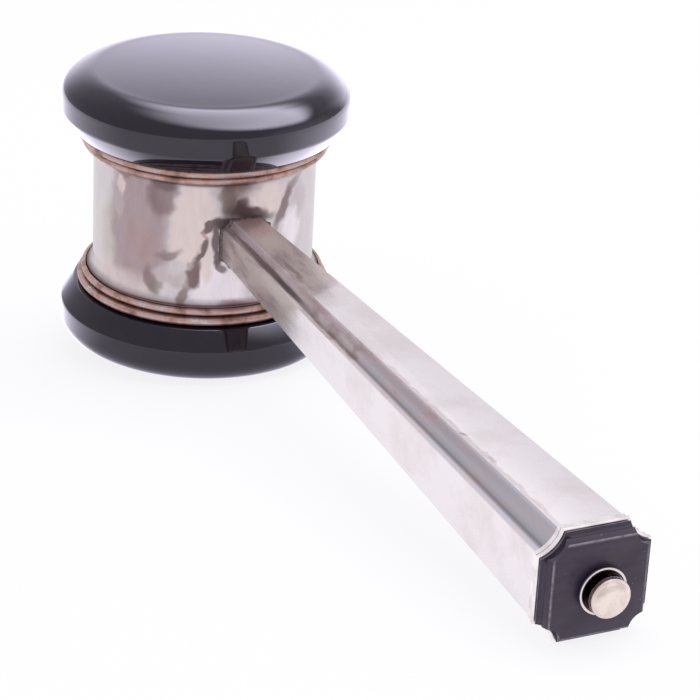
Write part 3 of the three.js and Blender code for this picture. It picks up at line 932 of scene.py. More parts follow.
@dataclass(frozen=True)
class SatinEbony(Finish):
    """Ebonised hardwood rubbed to a satin, handled and a little dusty.

    It gives the eye a purple-black that lightens with the sheen, grey arrises, lightened by wear and by a
    painted highlight, and pale specks.
    """

    face: float
    face_half_width: float
    back: float
    colour: str = "#393040"
    figure: str = "#423849"
    worn_and_highlit: str = "#8d8592"
    dust: str = "#8d8791"
    grain: float = 1.6
    wear_size: float = 2.4
    speck_gap: float = 1.3
    roughness: float = 0.36

    def build(self) -> Material:
        """Makes the material."""
        add, material, place = self.begin("ebonised_hardwood_satin")
        laid = add("ShaderNodeMapping", {"Vector": place, "Scale": (1.0, 0.18, 1.0)})
        ramp = [(0.4, self.colour), (0.68, self.figure)]
        figure, tone = self.clouded(add, laid, self.grain, 5.0, 0.6, ramp)
        # The arrises of the face and of the foot are lightened, here more and there less: partly wear, partly
        # a painted highlight.
        x, y, z = add("ShaderNodeSeparateXYZ", [place]).outputs
        aside = add("ShaderNodeMath", [y], operation="ABSOLUTE")
        above = add("ShaderNodeMath", [z], operation="ABSOLUTE")
        out = add("ShaderNodeMath", [aside, above], operation="MAXIMUM")
        half = self.face_half_width
        near_edge = add("ShaderNodeMapRange", [out, half - 0.4, half - 0.02])
        near_face = add("ShaderNodeMapRange", [x, self.face - 0.22, self.face - 0.08])
        arris = add("ShaderNodeMath", [near_edge, near_face], operation="MULTIPLY")
        foot = add("ShaderNodeMapRange", [x, self.back + 0.26, self.back + 0.12])
        edges = add("ShaderNodeMath", [arris, foot], operation="MAXIMUM")
        wear = add("ShaderNodeTexNoise", {
            "Vector": place, "Scale": 1 / self.wear_size, "Detail": 4.0, "Roughness": 0.7,
        })
        bare = add("ShaderNodeMapRange", [wear, 0.36, 0.55, 0.25, 0.9])
        rubbed = add("ShaderNodeMath", [edges, bare], operation="MULTIPLY")
        # Wear and a painted highlight on the arrises, in one grey.
        worn_and_highlit = add("ShaderNodeMix", [rubbed, tone, self.worn_and_highlit], data_type="RGBA")
        # Dust settles in specks where the wear is greatest.
        grains = add("ShaderNodeTexVoronoi", {"Vector": place, "Scale": 1 / self.speck_gap})
        speck = add("ShaderNodeMapRange", [grains, 0.1, 0.05])
        few = add("ShaderNodeMapRange", [wear, 0.48, 0.6])
        settled = add("ShaderNodeMath", [speck, few], operation="MULTIPLY")
        dusty = add("ShaderNodeMix", [settled, worn_and_highlit, self.dust], data_type="RGBA")
        sheen = add("ShaderNodeMapRange", [wear, 0.3, 0.7, self.roughness - 0.08, self.roughness + 0.06])
        surface = {"Base Color": dusty, "Roughness": sheen, "IOR": 1.4}
        self.end(add, surface, (figure, 0.15, 0.00008))
        return material


@dataclass(frozen=True)
class TurnedHardwood(Finish):
    """Plain maple, turned between centres and left unfinished, inside the head and the handle.

    It gives the eye a tan wood with growth rings round its length and darker pores.
    """

    early: str = "#b48a5c"
    late: str = "#8d6439"
    ring_gap: float = 2.6

    def build(self) -> Material:
        """Makes the material."""
        add, material, place = self.begin("maple_turned_plain")
        rings = add("ShaderNodeTexWave", {
            "Vector": place, "Scale": ONE_WAVE / self.ring_gap, "Distortion": 3.0, "Detail": 3.0,
            "Detail Scale": 0.6,
        }, wave_type="RINGS", rings_direction="X").outputs["Fac"]
        tone = add("ShaderNodeValToRGB", [rings], ramp=[(0.25, self.late), (0.7, self.early)])
        self.end(add, {"Base Color": tone, "Roughness": 0.6}, (rings, 0.2, 0.0001))
        return material


@dataclass(frozen=True)
class MachinedSteel(Finish):
    """Mild steel bar, turned to size: grey, with fine tool marks round it."""

    colour: str = "#a3a19f"
    dull: str = "#84807c"
    mark_gap: float = 0.5

    def build(self) -> Material:
        """Makes the material."""
        add, material, place = self.begin("mild_steel_turned")
        marks = add("ShaderNodeTexWave", {
            "Vector": place, "Scale": ONE_WAVE / self.mark_gap, "Distortion": 0.6, "Detail": 2.0,
        }, wave_type="BANDS", bands_direction="X").outputs["Fac"]
        tone = add("ShaderNodeValToRGB", [marks], ramp=[(0.2, self.dull), (0.8, self.colour)])
        self.end(add, {"Base Color": tone, "Metallic": 1.0, "Roughness": 0.35}, (marks, 0.2, 0.00005))
        return material


# The head


@dataclass
class Head:
    """The silver drum, its mouldings and the two striking discs. Sizes are in millimetres."""

    bench: Workbench
    drum_radius: float = 24.3
    drum_wall: float = 0.9
    plain_half_length: float = 11.5
    seat_radius: float = 25.6
    cove_length: float = 2.5
    drum_half_length: float = 17.8
    drum_ease: float = 0.15
    ring_bore: float = 25.9
    bead_start: float = 14.3
    bead_width: float = 1.5
    bead_crest: float = 26.8
    lip_start: float = 16.1
    lip_width: float = 1.7
    lip_crest: float = 27.7
    disc_seat: float = 18.1
    disc_neck: float = 28.5
    disc_radius: float = 31.4
    rim_low: float = 22.2
    rim_high: float = 25.6
    rim_ease: float = 0.5
    face_edge_radius: float = 23.7
    face_edge: float = 30.8
    face_rings: int = 14
    crown: float = 0.5
    dowel_bore: float = 5.3
    dowel_bore_end: float = 27.4
    disc_ease: float = 0.2
    segments: int = 160

    def build(self, drum: Material, wire: Material, disc: Material) -> None:
        """Makes the head's pieces and lays them down.

        Args:
            drum: The drum's finish.
            wire: The beads' and lips' finish.
            disc: The discs' finish.
        """
        self.bench.lay_down(self.drum_sleeve(), Body.ROOT, Slot.TARNISHED, ["drum_sleeve"], drum)
        ends = [
            (self.striking_disc(), "striking_disc", Slot.POLISHED_BLACK, disc),
            (self.wire_ring("bead_ring", self.bead_start, self.bead_width, self.bead_crest),
             "bead_ring", Slot.TARNISHED, wire),
            (self.wire_ring("lip_ring", self.lip_start, self.lip_width, self.lip_crest),
             "lip_ring", Slot.SILVER, wire),
        ]
        for upper, node, slot, finish in ends:
            lower = self.bench.turned_over(upper, f"lower_{node}_turned")
            self.bench.lay_down(upper, Body.ROOT, slot, [f"upper_{node}"], finish)
            self.bench.lay_down(lower, Body.ROOT, slot, [f"lower_{node}"], finish)

    def drum_sleeve(self) -> Piece:
        """Turns the drum: a thin spool whose ends flare in hollow coves."""
        flare = (self.drum_radius - self.seat_radius, 0)
        cove = quarter_arc((self.seat_radius, self.plain_half_length), flare, (0, self.cove_length), steps=12)
        upper = [*cove, (self.seat_radius, self.drum_half_length)]
        lower = [(radius, -place) for radius, place in reversed(upper)]
        inner = self.drum_radius - self.drum_wall
        outline = [*lower, *upper, (inner, self.drum_half_length), (inner, -self.drum_half_length)]
        rounded = eased(outline, self.drum_ease, closed=True)
        return self.bench.turned("drum_sleeve_spun", rounded, TurnAxis.HEAD, self.segments, closed=True)

    def striking_disc(self) -> Piece:
        """Turns the upper disc, with its sloping underside and its hollow for the dowel."""
        radius, edge = self.disc_radius, self.face_edge_radius
        slope = [(self.disc_neck, self.disc_seat), (radius, self.rim_low), (radius, self.rim_high)]
        underside = eased(slope, self.rim_ease, steps=6)[:-1]
        rise = (0, self.face_edge - self.rim_high)
        shoulder = quarter_arc((edge, self.rim_high), (radius - edge, 0), rise, steps=24)
        shares = [1 - ring / self.face_rings for ring in range(1, self.face_rings + 1)]
        crown = [(edge * share, self.face_edge + self.crown * (1 - share**2)) for share in shares]
        end, bore = self.dowel_bore_end, self.dowel_bore
        hollow = [(0, end), (bore, end), (bore, self.disc_seat)]
        outline = eased([*hollow, *underside, *shoulder, *crown], self.disc_ease)
        return self.bench.turned("upper_striking_disc_turned", outline, TurnAxis.HEAD, self.segments)

    def wire_ring(self, node: str, start: float, width: float, crest: float) -> Piece:
        """Turns an upper ring of half-round wire.

        Args:
            node: What the ring is called, without its end of the head.
            start: Where the ring starts along the head's axis.
            width: Its width along that axis.
            crest: Its largest radius.

        Returns:
            The piece.
        """
        half = width / 2
        middle = (crest - half, start + half)
        first = quarter_arc(middle, (0, -half), (half, 0), steps=8)
        last = quarter_arc(middle, (half, 0), (0, half), steps=8)
        outline = [(self.ring_bore, start), *first, *last[1:], (self.ring_bore, start + width)]
        return self.bench.turned(f"upper_{node}_turned", outline, TurnAxis.HEAD, self.segments, closed=True)


# The handle


def at_four_corners(arc: Sequence[Point]) -> list[Point]:
    """Repeats one corner's points, anticlockwise, at all four corners of a square."""
    turns = [Matrix.Rotation(corner * math.pi / 2, 2) for corner in range(4)]
    return [tuple(turned @ Vector(point)) for turned in turns for point in arc]


def hollow_square(half_width: float, cut: float, bow_share: float, steps: int) -> list[Point]:
    """Gives a square with each corner taken off by a hollow arc.

    Args:
        half_width: Half the square's width.
        cut: How much of each side the corner takes off.
        bow_share: The arc's bow, as a share of its chord.
        steps: How many straight lines make each arc.

    Returns:
        The points, anticlockwise from the corner at low Y and low Z.
    """
    bow = bow_share * cut * math.sqrt(2)
    radius = (cut * cut / 2 + bow * bow) / (2 * bow)
    spread = math.asin(cut / math.sqrt(2) / radius)
    centre = half_width - cut / 2 + (radius - bow) * math.sqrt(0.5)
    turns = [math.pi * 1.25 + spread * (1 - 2 * step / steps) for step in range(steps + 1)]
    return at_four_corners(
        [(centre + radius * math.cos(turn), centre + radius * math.sin(turn)) for turn in turns]
    )


def notched_square(half_width: float, corner: float, radius: float, steps: int) -> list[Point]:
    """Gives a square whose corners are cut by round notches that stay where they are as it narrows.

    Args:
        half_width: Half the square's width.
        corner: The notch's centre, as far out in Y as in Z.
        radius: The notch's radius.
        steps: How many straight lines make each notch.

    Returns:
        The points, anticlockwise.
    """
    lean = math.asin((corner - half_width) / radius)
    start, end = math.pi + lean, 1.5 * math.pi - lean
    turns = [end + (start - end) * step / steps for step in range(steps + 1)]
    return at_four_corners(
        [(corner + radius * math.cos(turn), corner + radius * math.sin(turn)) for turn in turns]
    )


@dataclass
class Handle:
    """The tapered fluted tube and the solder at its root. Sizes are in millimetres."""

    bench: Workbench
    taper: Taper
    buried_start: float = 18.9
    wall: float = 0.9
    bow_share: float = 0.13
    flute_steps: int = 14
    edge: float = 0.16
    saddle_gap: float = 0.03
    saddle_length: float = 60.0
    saddle_segments: int = 192
    solder_spread: float = 0.7
    solder_climb: float = 1.0
    solder_lump: float = 0.18
    solder_sharp: float = 60.0

    def ring(self, reach: float, out: float = 0.0) -> list[Point]:
        """Gives the tube's section at a reach.

        Args:
            reach: The distance from the head's axis.
            out: How far outside the tube the section lies.

        Returns:
            The points.
        """
        half, cut = self.taper.at(reach)
        return hollow_square(half + out, cut, self.bow_share, self.flute_steps)

    def build(self, silver: Material, solder: Material) -> None:
        """Makes the tube and its solder and lays them down.

        Args:
            silver: The tube's finish.
            solder: The solder's finish.
        """
        self.bench.lay_down(self.tube(), Body.ROOT, Slot.SILVER, ["handle_tube"], silver)
        self.bench.lay_down(self.solder(), Body.ROOT, Slot.TARNISHED, [], solder, self.solder_sharp)

    def tube(self) -> Piece:
        """Draws the tube's section at both ends, bridges them, gives the wall and saddles it to the drum."""
        bench = self.bench
        reaches = (self.buried_start, self.taper.end)
        piece = bench.rings(
            "handle_tube_drawn", [[(reach, y, z) for y, z in self.ring(reach)] for reach in reaches]
        )
        bpy.ops.mesh.bridge_edge_loops()
        bench.merge_and_face_out()
        bench.modifier(piece, "SOLIDIFY", thickness=self.wall, offset=-1, use_even_offset=True)
        bench.modifier(
            piece, "BEVEL", width=self.edge, segments=3, limit_method="ANGLE", angle_limit=math.radians(25)
        )
        bpy.ops.mesh.primitive_cylinder_add(
            vertices=self.saddle_segments, radius=self.taper.start + self.saddle_gap,
            depth=self.saddle_length, location=(0, 0, 0),
        )
        saddle = bpy.context.object
        bench.modifier(piece, "BOOLEAN", operation="DIFFERENCE", solver="EXACT", object=saddle)
        bpy.data.objects.remove(saddle)
        return piece

    def solder(self) -> Piece:
        """Runs a lumpy fillet of solder round the tube's root, lying on the drum and climbing the tube."""
        drum = self.taper.start
        # How far out of the tube and how far up from the drum each loop lies. The last is buried and plain.
        beds = ((self.solder_spread, 0.03), (self.solder_spread * 0.42, 0.38), (0.03, self.solder_climb),
                (-0.3, -0.3))
        loops: list[list[Point3]] = []
        for number, (out, rise) in enumerate(beds):
            loop: list[Point3] = []
            for step, (y, z) in enumerate(self.ring(drum, out)):
                # Two waves that never fall in step make the lumps. They also widen the second loop.
                lump = math.sin(1.7 * step + number) + math.sin(0.61 * step + 2.3 * number)
                swell = 1 + self.solder_lump * 0.5 * lump if number < 3 else 1.0
                wide = 1 + 0.02 * lump if number == 1 else 1
                saddle = math.sqrt(drum * drum - (y * wide) ** 2)
                loop.append((saddle + rise * swell, y * wide, z * wide))
            loops.append(loop)
        piece = self.bench.rings("root_solder_run", loops)
        self.bench.skin(piece, len(loops[0]), [(0, 1), (1, 2), (2, 3), (3, 0)])
        self.bench.merge_and_face_out()
        self.bench.modifier(piece, "SUBSURF", levels=1, render_levels=1)
        return piece


@dataclass
class HandleEnd:
    """The flange and the stepped block. Sizes are in millimetres."""

    bench: Workbench
    flange_back: float = 175.05
    flange_groove: float = 176.3
    flange_front: float = 177.3
    flange_half_width: float = 10.9
    flange_rear_step: float = 0.26
    flange_cut: float = 4.5
    flange_cut_share: float = 0.7
    flange_roll: float = 0.3
    bow_share: float = 0.13
    block_back: float = 177.6
    block_half_width: float = 10.6
    block_cut: float = 4.4
    block_arris: float = 0.09
    base_thickness: float = 0.25
    cove_depth: float = 0.7
    cove_inset: float = 0.8
    face: float = 179.8
    face_half_width: float = 9.1
    notch_radius: float = 3.3
    tier_gap: float = 0.02
    bore: float = 2.3
    bore_margin: float = 0.05
    bore_segments: int = 48
    steps: int = 14

    def build(self, flange: Material, block: Material) -> None:
        """Makes the flange and the block and lays them down.

        Args:
            flange: The flange's finish.
            block: The block's finish.
        """
        self.bench.lay_down(self.flange(), Body.ROOT, Slot.SILVER, ["end_flange"], flange)
        self.bench.lay_down(self.block(), Body.ROOT, Slot.SATIN_BLACK, ["end_block"], block)

    def flange(self) -> Piece:
        """Makes the plate that closes the tube: a thin rear step and a rolled front edge."""
        full, roll = self.flange_half_width, self.flange_roll
        groove, front = self.flange_groove, self.flange_front
        rear = full - self.flange_rear_step
        # Half the width, and where along the handle: the step's round back, the groove, the front's foot.
        outline = [
            (rear - 0.18, self.flange_back), (rear - 0.04, self.flange_back + 0.08),
            (rear, self.flange_back + 0.22), (rear - 0.03, groove - 0.16), (rear - 0.2, groove - 0.1),
            (rear - 0.2, groove + 0.04), (full - 0.1, groove + 0.08), (full, groove + 0.22),
            *quarter_arc((full - roll, front - roll), (roll, 0), (0, roll), steps=5),
        ]
        sections = []
        for half, reach in outline:
            cut = self.flange_cut - self.flange_cut_share * (full - half)
            sections.append((reach, hollow_square(half, cut, self.bow_share, self.steps)))
        return self.bored("end_flange_rolled", sections)

    def block(self) -> Piece:
        """Makes the black block: a base, a cove, and a sloped tier with round notches at its corners."""
        full, inset = self.block_half_width, self.cove_inset
        cove_front = self.block_back + self.base_thickness + self.cove_depth
        cove = quarter_arc((full, cove_front), (0, -self.cove_depth), (-inset, 0), steps=8)
        sections = [
            (reach, hollow_square(half, self.block_cut, self.bow_share, self.steps))
            for half, reach in [(full, self.block_back), *cove]
        ]
        for reach, half in ((cove_front + self.tier_gap, full - inset), (self.face, self.face_half_width)):
            sections.append((reach, notched_square(half, full - inset, self.notch_radius, self.steps)))
        piece = self.bored("end_block_stepped", sections)
        self.bench.modifier(
            piece, "BEVEL", width=self.block_arris, segments=2, limit_method="ANGLE",
            angle_limit=math.radians(40),
        )
        return piece

    def bored(self, name: str, sections: Sequence[tuple[float, Sequence[Point]]]) -> Piece:
        """Skins sections, each with the next, and closes both ends round a bore for the screw.

        Args:
            name: The new piece's name.
            sections: The reach and the points of each section.

        Returns:
            The piece, in object mode.
        """
        bench = self.bench
        piece = bench.rings(name, [[(reach, y, z) for y, z in points] for reach, points in sections])
        bench.skin(piece, len(sections[0][1]), [(number, number + 1) for number in range(len(sections) - 1)])
        for end in (sections[0][0], sections[-1][0]):
            bpy.ops.mesh.select_all(action="DESELECT")
            bpy.ops.mesh.primitive_circle_add(
                vertices=self.bore_segments, radius=self.bore, location=(end, 0, 0),
                rotation=(0, math.pi / 2, 0),
            )
            bench.select_where(piece, lambda vertex: abs(vertex.co.x - end) < MERGE_DISTANCE)
            bpy.ops.mesh.fill(use_beauty=True)
        reach = self.bore + self.bore_margin
        bench.select_where(piece, lambda vertex: math.hypot(vertex.co.y, vertex.co.z) < reach)
        bpy.ops.mesh.bridge_edge_loops()
        bench.merge_and_face_out()
        return piece


@dataclass
class Finial:
    """The dished cup and the button screw. Sizes are in millimetres."""

    bench: Workbench
    screw_tip: float = 168.4
    rod_radius: float = 2.0
    cup_back: float = 180.1
    cup_radius: float = 4.5
    cup_height: float = 1.35
    cup_wall: float = 0.45
    cup_foot: float = 3.2
    cup_ease: float = 0.08
    bore: float = 2.3
    neck_start: float = 180.85
    neck_radius: float = 2.5
    button_start: float = 182.95
    button_radius: float = 3.75
    button_length: float = 1.3
    button_crown: float = 1.25
    button_edge: float = 0.5
    button_ease: float = 0.12
    pit_radius: float = 0.3
    pit_depth: float = 0.13
    pit_lip: float = 0.005
    pit_taper: float = 0.6
    segments: int = 96

    def build(self, cup: Material, button: Material) -> None:
        """Makes the cup and the button screw and lays them down.

        Args:
            cup: The cup's finish.
            button: The screw's finish.
        """
        self.bench.lay_down(self.cup(), Body.CUP, Slot.SILVER, ["finial_cup"], cup)
        self.bench.lay_down(self.screw(), Body.SCREW, Slot.SILVER, ["finial_screw"], button)

    def cup(self) -> Piece:
        """Turns the cup: a thin dish that the button's neck stands in."""
        rim = self.cup_back + self.cup_height
        lip = self.cup_wall / 2
        foot = (self.cup_radius - self.cup_foot, 0)
        outer = quarter_arc((self.cup_foot, rim - lip), (0, self.cup_back - rim + lip), foot, steps=10)
        rolled = quarter_arc((self.cup_radius - lip, rim - lip), (lip, 0), (0, lip), steps=5)
        inner = (self.cup_radius - self.cup_wall - self.bore, 0)
        dish = quarter_arc((self.bore, rim), inner, (0, self.cup_wall - self.cup_height), steps=12)
        rounded = eased([(self.bore, self.cup_back), *outer, *rolled[1:], *dish], self.cup_ease, closed=True)
        return self.bench.turned("finial_cup_dished", rounded, TurnAxis.HANDLE, self.segments, closed=True)

    def screw(self) -> Piece:
        """Turns the button, its stepped neck and its screw in one piece, with the lathe centre's pit."""
        end = self.button_start + self.button_length
        top = end + self.button_crown
        edge, flat = self.button_edge, self.button_radius - self.button_edge
        face = quarter_arc((0, end), (flat, 0), (0, self.button_crown), steps=14)
        outline = [
            (0, self.screw_tip),
            (self.rod_radius, self.screw_tip),
            (self.rod_radius, self.neck_start),
            (self.neck_radius, self.neck_start),
            (self.neck_radius, self.button_start),
            (self.button_radius, self.button_start),
            *quarter_arc((flat, end - edge), (edge, 0), (0, edge), steps=6),
            *face[1:-1],
            (self.pit_radius, top - self.pit_lip),
            (self.pit_radius * self.pit_taper, top - self.pit_depth * self.pit_taper),
            (0, top - self.pit_depth),
        ]
        rounded = eased(outline, self.button_ease)
        return self.bench.turned("finial_button_screw", rounded, TurnAxis.HANDLE, self.segments)


# The studio


@dataclass
class Studio:
    """A white table under a softbox, with a pale sweep behind. Sizes are in metres, angles in degrees.

    Everything is lit at a plain level. Only the lacquer's mirror, through Light Path's Is Singular Ray,
    sees how bright the softbox and the sweep themselves are.
    """

    pose: RestPose
    camera_place: Point3 = (0.48091523, -0.21642963, 0.19598178)
    camera_right: Point3 = (0.41434401, 0.91010016, -0.00606169)
    camera_up: Point3 = (-0.28365082, 0.13546141, 0.94931155)
    camera_back: Point3 = (0.86478972, -0.39162216, 0.31427828)
    lens: float = 143.75
    sensor: float = 36.0
    clip: Point = (0.01, 50.0)
    floor_size: float = 6.0
    white: str = "#fefdff"
    plain: float = 0.85
    mirror_tint: Colour = (1.0, 0.955, 1.16, 1.0)
    box_middle: Point = (18.0, 10.0)
    box_reach: Point = (25.0, 47.0)
    flag_way: Point3 = (0.637, 0.771, 0.0)
    flag_edge: Point = (37.0, 50.0)
    tongue_middle: Point = (3.0, 36.0)
    tongue_reach: Point = (17.0, 30.0)
    tongue_edge: Point = (0.5, 1.2)
    box_level: float = 1.5
    box_sheen: float = 1.1
    box_mirror: Point = (3.3, 8.8)
    box_mirror_ends: Point = (-24.0, 27.0)
    box_width: float = 1.2
    box_distance: float = 1.0
    sweep_mirror: float = 2.4
    # How bright the sweep is by its height, and by its place from left to right.
    sweep_heights: tuple[Point, ...] = (
        (0.0, 1.0), (0.14, 1.18), (0.276, 0.84), (0.36, 0.54), (0.407, 0.36), (0.454, 0.2), (0.545, 0.0),
    )
    sweep_places: tuple[Point, ...] = (
        (0.125, 0.0), (0.2, 0.12), (0.335, 0.55), (0.5, 0.92), (0.665, 1.08), (0.8, 0.7), (0.89, 0.0),
    )
    room_mirror: float = 0.6
    wall_mirror: float = 1.1
    wall_azimuth: float = 100.0
    table_glow: float = 0.86
    table_paint: float = 0.13
    # Which way from the head each pool of light on the table lies, and how bright it is.
    table_pools: tuple[Point, ...] = ((60.0, 2.5), (-50.0, 1.6))

    def build(self) -> None:
        """Places the camera, the table, the surround and the lamp."""
        self.camera()
        self.table()
        self.surround()
        self.softbox()
        bpy.context.scene.view_settings.view_transform = "Standard"

    def camera(self) -> None:
        """Places the camera where the photograph was taken from."""
        data = bpy.data.cameras.new("camera")
        data.lens, data.sensor_width = self.lens, self.sensor
        data.clip_start, data.clip_end = self.clip
        camera = bpy.data.objects.new("camera", data)
        bpy.context.scene.collection.objects.link(camera)
        turned = Matrix((self.camera_right, self.camera_up, self.camera_back)).transposed().to_4x4()
        camera.matrix_world = Matrix.Translation(self.camera_place) @ turned
        bpy.context.scene.camera = camera

    def frame(self) -> tuple[Vector, Vector, Vector]:
        """Gives the directions ahead of the camera, to its right and up the head's axis, all square."""
        up = self.pose.head_axis()
        camera_right = Vector(self.camera_right)
        right = (camera_right - up * camera_right.dot(up)).normalized()
        return up.cross(right), right, up

    def way(self, azimuth: float) -> Vector:
        """Gives the level direction at an azimuth from ahead of the camera towards its right."""
        ahead, right, _ = self.frame()
        turn = math.radians(azimuth)
        return ahead * math.cos(turn) + right * math.sin(turn)

    def table(self) -> None:
        """Lays the white table: mostly its own white, with enough paint to keep the gavel's shadow."""
        bpy.ops.object.select_all(action="DESELECT")
        bpy.ops.mesh.primitive_plane_add(size=self.floor_size, location=(0, 0, 0))
        table = bpy.context.object
        table.name = "table"
        material = bpy.data.materials.new("white_table")
        add = node_adder(material)
        singular = add("ShaderNodeLightPath").outputs["Is Singular Ray"]
        place = add("ShaderNodeTexCoord").outputs["Object"]
        middle = (self.pose.centre.x, self.pose.centre.y, 0)
        from_head = add("ShaderNodeVectorMath", [place, middle], operation="SUBTRACT")
        away = add("ShaderNodeVectorMath", [from_head], operation="LENGTH")
        way = add("ShaderNodeVectorMath", [from_head], operation="NORMALIZE")
        # Painted light, seen only in a mirror: the table glows less close round the head, a painted shade,
        # and painted pools of light lie round it.
        level = add("ShaderNodeMapRange", [away, 0.03, 0.13, 0.95, 1.15])
        near = add("ShaderNodeMapRange", [away, 0.06, 0.18, 1.0, 0.55])
        for azimuth, glow in self.table_pools:
            lit = add("ShaderNodeVectorMath", [way, self.way(azimuth)], operation="DOT_PRODUCT")
            pool = add("ShaderNodeMapRange", [lit, 0.3, 1.0, 0.0, glow], interpolation_type="SMOOTHSTEP")
            level = add("ShaderNodeMath", [pool, near, level], operation="MULTIPLY_ADD")
        strength = add("ShaderNodeMix", [singular, self.table_glow, level], data_type="FLOAT")
        tint = add("ShaderNodeMix", [singular, self.white, self.mirror_tint], data_type="RGBA")
        glow = add("ShaderNodeEmission", {"Color": tint, "Strength": strength})
        paint = add("ShaderNodeBsdfDiffuse", {"Color": (*[self.table_paint] * 3, 1)})
        add("ShaderNodeOutputMaterial", {"Surface": add("ShaderNodeAddShader", [glow, paint])})
        table.data.materials.append(material)

    def surround(self) -> None:
        """Fills the world: white for the camera, plain for the rest, and the studio itself for a mirror."""
        world = bpy.data.worlds.new("pale_surround")
        bpy.context.scene.world = world
        add = node_adder(world)
        ray = add("ShaderNodeTexCoord").outputs["Generated"]
        far, side, rise = (
            add("ShaderNodeVectorMath", [ray, way], operation="DOT_PRODUCT") for way in self.frame()
        )
        path = add("ShaderNodeLightPath").outputs
        box, box_level = self.box_mask(add, far, side, rise)
        room = self.room(add, far, side, rise, ray)
        mirror = add("ShaderNodeMix", [box, room, box_level], data_type="FLOAT")
        glossy = add("ShaderNodeMath", [box, path["Is Glossy Ray"]], operation="MULTIPLY")
        sheen = self.box_sheen - self.plain
        soft = add("ShaderNodeMath", [glossy, sheen, self.plain], operation="MULTIPLY_ADD")
        lit = add("ShaderNodeMix", [path["Is Singular Ray"], soft, mirror], data_type="FLOAT")
        level = add("ShaderNodeMix", [path["Is Camera Ray"], lit, 1.0], data_type="FLOAT")
        tint = add("ShaderNodeMix", [path["Is Singular Ray"], self.white, self.mirror_tint], data_type="RGBA")
        background = add("ShaderNodeBackground", {"Color": tint, "Strength": level})
        add("ShaderNodeOutputWorld", {"Surface": background})

    def box_mask(self, add: Adder, far: Source, side: Source, rise: Source) -> tuple[Node, Node]:
        """Draws the round softbox overhead, which a flag cuts off on its far right.

        Args:
            add: Adds a node to the world's tree.
            far: How far ahead the ray goes.
            side: How far to the right it goes.
            rise: How far up it goes.

        Returns:
            Where the softbox is, and how bright it is in a mirror.
        """
        zenith = add("ShaderNodeMath", [rise], operation="ARCCOSINE")
        degrees = add("ShaderNodeMath", [zenith], operation="DEGREES")
        level_way = add("ShaderNodeCombineXYZ", [side, far])
        unit = add("ShaderNodeVectorMath", [level_way], operation="NORMALIZE")
        polar = add("ShaderNodeVectorMath", [unit, degrees], operation="SCALE")
        away = add("ShaderNodeVectorMath", [polar, (*self.box_middle, 0)], operation="DISTANCE")
        tongue_spot = add("ShaderNodeMapping", {
            "Vector": polar, "Location": (*self.tongue_middle, 0), "Scale": (*self.tongue_reach, 1),
        }, vector_type="TEXTURE")
        tongue_away = add("ShaderNodeVectorMath", [tongue_spot], operation="LENGTH")
        across = add("ShaderNodeVectorMath", [polar, self.flag_way], operation="DOT_PRODUCT")
        fades = ((away, self.box_reach), (tongue_away, self.tongue_edge), (across, self.flag_edge))
        disc, tongue, flag = (
            add("ShaderNodeMapRange", [value, *ends, 1.0, 0.0], interpolation_type="SMOOTHSTEP")
            for value, ends in fades
        )
        lit = add("ShaderNodeMath", [disc, tongue], operation="MAXIMUM")
        mask = add("ShaderNodeMath", [lit, flag], operation="MULTIPLY")
        sideways, _, _ = add("ShaderNodeSeparateXYZ", [polar]).outputs
        return mask, add("ShaderNodeMapRange", [sideways, *self.box_mirror_ends, *self.box_mirror])

    def room(self, add: Adder, far: Source, side: Source, rise: Source, ray: Source) -> Node:
        """Draws the room round the softbox: a lit sweep behind the gavel, fading up, and a dim right wall.

        Args:
            add: Adds a node to the world's tree.
            far: How far ahead the ray goes.
            side: How far to the right it goes.
            rise: How far up it goes.
            ray: The ray itself.

        Returns:
            How bright the room is in a mirror.
        """
        climb = add("ShaderNodeValToRGB", [rise], ramp=self.sweep_heights)
        spread = add("ShaderNodeMapRange", [side, -1.0, 1.0])
        width = add("ShaderNodeValToRGB", [spread], ramp=self.sweep_places)
        behind = add("ShaderNodeMapRange", [far, 0.0, 0.1, 0.0, self.sweep_mirror])
        swept = add("ShaderNodeMath", [climb, width], operation="MULTIPLY")
        wall = add("ShaderNodeVectorMath", [ray, self.way(self.wall_azimuth)], operation="DOT_PRODUCT")
        ends = (0.75, 1.0, self.room_mirror, self.wall_mirror)
        walled = add("ShaderNodeMapRange", [wall, *ends], interpolation_type="SMOOTHSTEP")
        return add("ShaderNodeMath", [swept, behind, walled], operation="MULTIPLY_ADD")

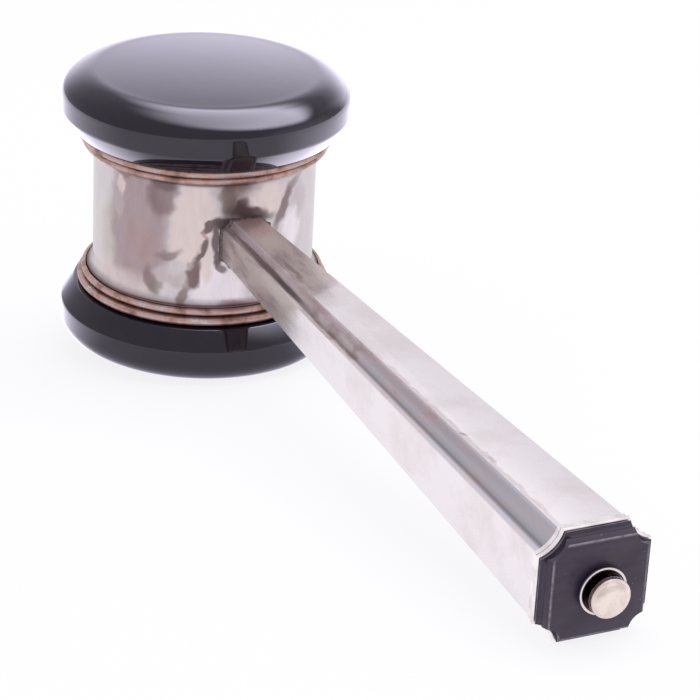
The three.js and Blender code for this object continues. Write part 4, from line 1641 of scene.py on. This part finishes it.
    def softbox(self) -> None:
        """Hangs the softbox, whose reflection the surround draws."""
        data = bpy.data.lights.new("softbox", "AREA")
        data.shape = "DISK"
        data.size = self.box_width
        data.energy = self.box_level * (math.pi * self.box_width / 2) ** 2
        lamp = bpy.data.objects.new("softbox", data)
        bpy.context.scene.collection.objects.link(lamp)
        ahead, right, up = self.frame()
        turns = [math.radians(turn) for turn in self.box_middle]
        way = (up + right * math.tan(turns[0]) + ahead * math.tan(turns[1])).normalized()
        lamp.location = self.pose.centre + way * self.box_distance
        lamp.rotation_euler = (-way).to_track_quat("-Z", "Y").to_euler()
        lamp.visible_camera = lamp.visible_glossy = False


def dress_hidden(pose: RestPose) -> None:
    """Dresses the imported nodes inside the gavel, which keep their own shapes.

    Args:
        pose: How the gavel lies.
    """
    hidden = {
        TurnedHardwood(pose).build(): ("head_core", "handle_core", "upper_disc_dowel", "lower_disc_dowel"),
        MachinedSteel(pose).build(): (
            "barrel_nut", "tie_rod", "rod_coupling", "left_alignment_pin", "right_alignment_pin",
        ),
    }
    for finish, nodes in hidden.items():
        for node in nodes:
            bpy.data.objects[node].data.materials[0] = finish
            LOG.info("%s: dressed in %s", node, finish.name)


def main() -> None:
    """Builds the studio and the gavel, piece by piece."""
    logging.basicConfig(level=logging.INFO, format="%(name)s: %(message)s")
    pose = RestPose.from_record(frame["record"])
    bench, taper = Workbench(pose), Taper()
    Studio(pose).build()
    drum, wire = SpunDrumSilver(pose).build(), TonedWireSilver(pose).build()
    Head(bench).build(drum, wire, PolishedEbony(pose).build())
    Handle(bench, taper).build(DrawnHandleSilver(pose, taper).build(), SolderOxide(pose).build())
    end, finial = HandleEnd(bench), Finial(bench)
    flange = PolishedFittingSilver(
        pose, "sterling_flange_filed", "#fbf4f6", "#e3d9dd", (end.flange_groove, 0.13)
    ).build()
    end.build(flange, SatinEbony(pose, end.face, end.face_half_width, end.block_back).build())
    neck_half = (finial.button_start - finial.neck_start) / 2
    button = PolishedFittingSilver(
        pose, "sterling_button_polished", "#efe1da", "#dacac3", (finial.neck_start + neck_half, neck_half)
    ).build()
    finial.build(DishedCupSilver(pose).build(), button)
    dress_hidden(pose)


if __name__ == "__main__":
    main()
